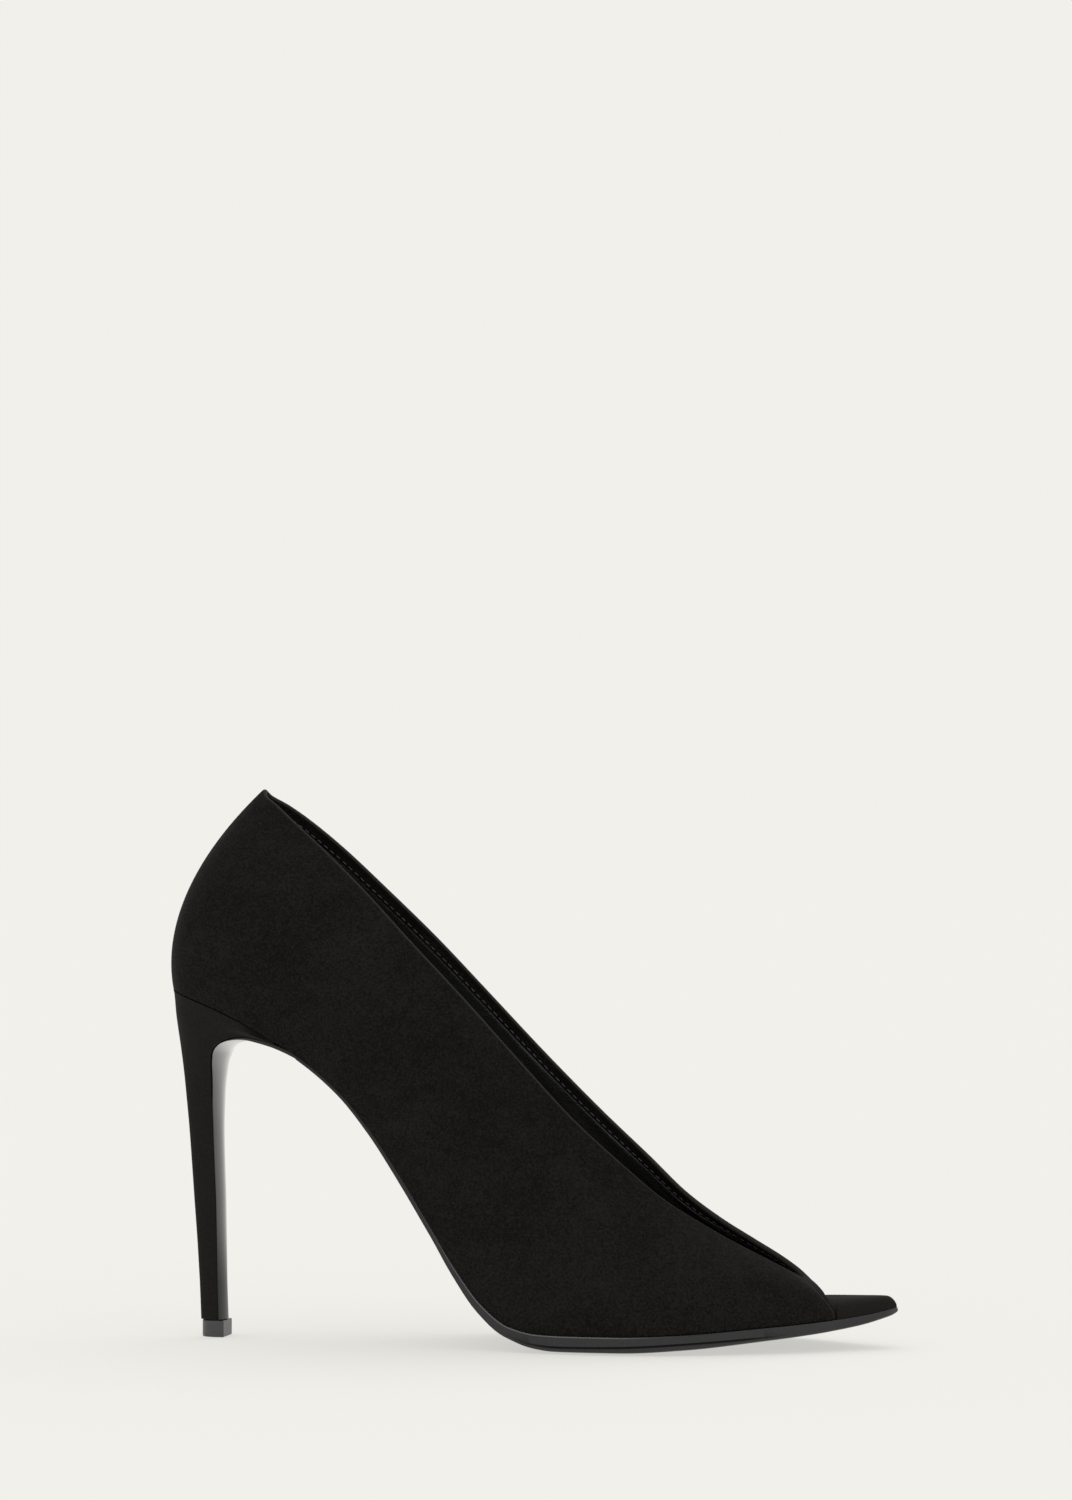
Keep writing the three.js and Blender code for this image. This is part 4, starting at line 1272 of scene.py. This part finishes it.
def suede(name, dark, light):
    """Matte nap: its share of the light colour is the sum of three noises about their middle."""
    finish = new_finish(name)
    place = finish.place()
    patches = finish.noise(finish.stretched(place, (1, 1, 1.4), (0, 0.5, 0)), 34, 3, 0.5, 0.8)
    clouds = finish.noise(place, 260, 3, 0.6)
    speckle = finish.noise(place, 1350, 4, 0.8)
    nap = finish.noise(place, 4200, 2, 0.6)
    share = (patches - 0.5) * 1.2 + (clouds - 0.5) * 0.8 + (speckle - 0.5) * 5.0 + 0.44
    near, far = FACING_GROOVES
    edge_lines = edge_line(finish, near) + edge_line(finish, far)
    strap = finish.mark("strap")
    # Painted highlight: a light line along the strap's edge, and, with the fold mark, along the
    # folded edges.
    strap_highlight = (1 - strap.away_from(STRAP_HIGHLIGHT_AT) * (1 / STRAP_HIGHLIGHT_HALF)).clamped()
    # Painted shade: the strap is drawn darker, as a band lying below the sides' edges.
    strap_shade = (strap * -3 + 0.3).clamped() * (1 - finish.mark("inside"))
    edge_highlight = ((finish.mark("fold") + strap_highlight) * (speckle * 0.8 + 0.5)).clamped()
    share = share + strap_shade * ((speckle - 0.5) * 1.6 - 0.35)
    body = finish.colours(share.clamped(), dark, light)
    # Painted shade: the two grooves on the facing are drawn near black.
    body = finish.colours(edge_lines.clamped(), body, FACING_GROOVE_SHADE)
    colour = finish.colours(edge_highlight, body, paler(light, EDGE_HIGHLIGHT_PALER))
    height = speckle * 0.5 + nap * 0.35 + clouds * 0.3 - edge_lines * 0.9 - strap_shade * 0.8
    grain = finish.bump(height, 0.35, 0.0002)
    return finish.finished(
        Base_Color=colour, Roughness=0.97, Specular_IOR_Level=0.05, Normal=grain,
        Sheen_Weight=0.03, Sheen_Roughness=0.4, Sheen_Tint=(0.8, 0.77, 0.74, 1))


SUEDE_DARK, SUEDE_LIGHT = (0.0062, 0.0058, 0.0050, 1), (0.0160, 0.0150, 0.0131, 1)
# Painted shade: heel and toe bed get a darker copy of the upper's suede, so that under this light
# they read as dark as the upper.
SHADED_HEEL_DARK, SHADED_HEEL_LIGHT = (0.0040, 0.0037, 0.0033, 1), (0.0098, 0.0092, 0.0081, 1)
give(suede("black_suede", SUEDE_DARK, SUEDE_LIGHT), upper)
give(suede("heel_suede", SHADED_HEEL_DARK, SHADED_HEEL_LIGHT), heel, toe_bed)

# %% [markdown]
# ## Lining, sock and thread
#
# Inside, the leather is smooth and a little shiny, with fine creases that run along the foot.
# Noise that is pulled long makes them: it raises the surface, and it breaks up the gloss in
# the same places. The thread is the same leather to the eye, only lighter and duller.


# %% Lining leather
def smooth_leather(name, colour, roughness, crease):
    """Fine long creases over a small grain, as strong as crease says."""
    finish = new_finish(name)
    place = finish.place()
    long_place = finish.stretched(place, (0.35, 1.6, 1.0), (0, 0.75, 0))
    creases = finish.noise(long_place, 420, 4, 0.6, 1.2)
    grain = finish.noise(place, 1900, 2, 0.6)
    body = finish.colours(grain, colour, paler(colour, 1.7))
    relief = finish.bump(creases + grain * 0.25, crease, 0.0004)
    return finish.finished(
        Base_Color=body, Roughness=(creases - 0.5) * 0.25 + roughness,
        Specular_IOR_Level=0.5, Normal=relief)


give(smooth_leather("lining_leather", (0.010, 0.0096, 0.009, 1), 0.36, 0.6), lining)
give(smooth_leather("sock_leather", (0.008, 0.0076, 0.007, 1), 0.45, 0.25), insole)
give(smooth_leather("thread", (0.05, 0.048, 0.045, 1), 0.6, 0.2), stitches)

# %% [markdown]
# ## Sole leather
#
# The edge of the sole is waxed and rubbed to a satin. The flap down the front of the heel is
# polished until it mirrors the room, with faint streaks along it, and is duller at its low
# end. It could be three materials, but one that reads the mesh's marks gives soft changes
# between them: flap and low blend the gloss, groove gets a painted shade line, and bead a
# painted highlight line.


# %% Sole leather
SOLE_GROOVE_SHADE = (0.001, 0.001, 0.001, 1)
BEAD_HIGHLIGHT_COLOUR = (0.13, 0.13, 0.13, 1)


def sole_leather():
    """Satin where the flap's mark is 0, a polished coat where it is 1."""
    finish = new_finish("polished_sole_leather")
    place = finish.place()
    flap, low, groove = (finish.mark(name) for name in ("flap", "low", "groove"))
    streaks = finish.noise(finish.stretched(place, (1, 6, 0.12)), 300, 2, 0.5)
    grain = finish.noise(place, 1300, 3, 0.6)
    waxed = finish.noise(finish.stretched(place, (0.3, 1, 3)), 260, 2, 0.5)
    colour = finish.colours(grain * (1 - flap), (0.013, 0.013, 0.0135, 1), (0.032, 0.032, 0.033, 1))
    # Painted shade: the groove round the ball is drawn near black.
    colour = finish.colours(groove, colour, SOLE_GROOVE_SHADE)
    # Painted highlight: a light line on the sole's top bead along the waist.
    colour = finish.colours(finish.mark("bead"), colour, BEAD_HIGHLIGHT_COLOUR)
    rough = (0.42 + (waxed - 0.5) * 0.22) * (1 - flap) + (0.12 + streaks * 0.1) * flap
    rough = rough + low * 0.25 + groove * 0.4
    relief = finish.bump(grain * (1 - flap) + streaks * 0.3 * flap, 0.18, 0.0003)
    return finish.finished(
        Base_Color=colour, Roughness=rough, Specular_IOR_Level=0.34,
        Coat_Weight=flap * (1 - low * 0.85), Coat_Roughness=0.08, Normal=relief)


give(sole_leather(), outsole)

# %% [markdown]
# ## Rubber
#
# The top piece is hard rubber, a dark satin grey with light scuffs from its cutter. A noise
# that is pressed flat makes the scuffs, and the same noise changes the gloss.


# %% Rubber of the top piece
def rubber():
    """Grey in flat scuffs, over a fine grain."""
    finish = new_finish("top_piece_rubber")
    place = finish.place()
    grain = finish.noise(place, 900, 3, 0.6)
    scuffs = finish.noise(finish.stretched(place, (1, 1, 4)), 240, 3, 0.6)
    colour = finish.colours(scuffs, (0.03, 0.03, 0.031, 1), (0.06, 0.06, 0.062, 1))
    relief = finish.bump(grain, 0.2, 0.0002)
    return finish.finished(
        Base_Color=colour, Roughness=0.38 + (scuffs - 0.5) * 0.2, Normal=relief)


give(rubber(), top_piece)

# %% [markdown]
# ## Floor and light
#
# The photographer's pale sweep has no horizon, and its light comes from all round: the floor
# shows only a faint shadow under the sole. Here a world and a wide sun do that. The world is
# nearly even, a touch brighter behind the shoe than in front, and it shows the camera one pale
# tone. A sun gives the same light to every point of a floor, however far away, and its wide
# angle leaves a soft shadow. The floor is partly lit and partly glows with the pale tone by
# itself, which keeps the shadow faint. Paint and glow are balanced until floor and world show
# the same tone, and the line between them disappears. A shadow catcher would be the other way,
# but then the shoe would lose the light that a real floor throws up at it.

# %% Floor
PALE = (0.8796, 0.8714, 0.8308)
FLOOR_PAINT = 0.3
FLOOR_GLOW = 0.628
FLOOR_HALF = 14.0
FLOOR_BELOW = 0.00005


def pale_floor():
    """A large flat square, a touch below the shoe, that glows as well as being lit."""
    corners = [(-1, -1), (1, -1), (1, 1), (-1, 1)]
    mesh = bpy.data.meshes.new("floor")
    mesh.from_pydata([(FLOOR_HALF * x, FLOOR_HALF * y, -FLOOR_BELOW) for x, y in corners],
                     [], [(0, 1, 2, 3)])
    floor = bpy.data.objects.new("floor", mesh)
    bpy.context.scene.collection.objects.link(floor)
    paint = paler([c / PALE[0] for c in PALE], FLOOR_PAINT)
    finish = new_finish("pale_floor")
    give(finish.finished(Base_Color=paint, Roughness=1.0, Specular_IOR_Level=0.0,
                         Emission_Color=paler(PALE, FLOOR_GLOW), Emission_Strength=1.0), floor)


pale_floor()

# %% World and sun
BACK_LIGHT = 0.92
FRONT_LIGHT = 0.84
SUN_LIGHT = 0.76
SUN_WIDTH = 60
SUN_TURN = (-26, 0, 8)


def pale_room():
    """A world that lights nearly evenly, and shows the camera one pale tone."""
    world = bpy.data.worlds.new("pale_room")
    bpy.context.scene.world = world
    room = Finish(world)
    direction = room.node("ShaderNodeTexCoord", out="Generated")
    behind = room.node("ShaderNodeSeparateXYZ", None, {"Vector": direction}, out="Y")
    strength = room.node(
        "ShaderNodeMapRange", {"interpolation_type": "SMOOTHSTEP"},
        {"Value": behind, "From Min": -0.5, "From Max": 0.5,
         "To Min": FRONT_LIGHT, "To Max": BACK_LIGHT})
    lighting = room.node(
        "ShaderNodeBackground", None, {"Color": (1, 1, 1, 1), "Strength": strength})
    backdrop = room.node("ShaderNodeBackground", None, {"Color": PALE + (1,), "Strength": 1.0})
    seen = room.node("ShaderNodeLightPath", out="Is Camera Ray")
    both = room.node("ShaderNodeMixShader", None, {0: seen, 1: lighting, 2: backdrop})
    room.node("ShaderNodeOutputWorld", None, {"Surface": both})


def soft_sun():
    """A very wide sun, high up and a little behind the shoe."""
    sun = bpy.data.lights.new("soft_sun", "SUN")
    sun.angle = np.radians(SUN_WIDTH)
    sun.energy = SUN_LIGHT
    made = bpy.data.objects.new("soft_sun", sun)
    made.rotation_euler = np.radians(SUN_TURN)
    bpy.context.scene.collection.objects.link(made)


pale_room()
soft_sun()
bpy.context.scene.view_settings.view_transform = "Standard"
print("world", FRONT_LIGHT, "to", BACK_LIGHT, "and sun", SUN_LIGHT)

# %% [markdown]
# ## Camera
#
# The camera stands 1.6 metres away, a little above the floor, and sees the outer side from
# slightly in front. A long lens keeps the shoe's proportions. Place and turn were found by
# laying the outline of the solids over the photographed one until both agreed.

# %% Camera
CAMERA_PLACE = (0.3059, -1.5708, 0.158)
CAMERA_TURN = (90.952, 0, 10.955)
FOCAL_LENGTH = 122.88
SENSOR_WIDTH = 36
camera_data = bpy.data.cameras.new("camera")
camera_data.lens = FOCAL_LENGTH
camera_data.sensor_width = SENSOR_WIDTH
camera = bpy.data.objects.new("camera", camera_data)
bpy.context.scene.collection.objects.link(camera)
camera.location = CAMERA_PLACE
camera.rotation_euler = np.radians(CAMERA_TURN)
bpy.context.scene.camera = camera
print("camera", round(float(np.linalg.norm(CAMERA_PLACE)), 2), "m away, lens", FOCAL_LENGTH, "mm")
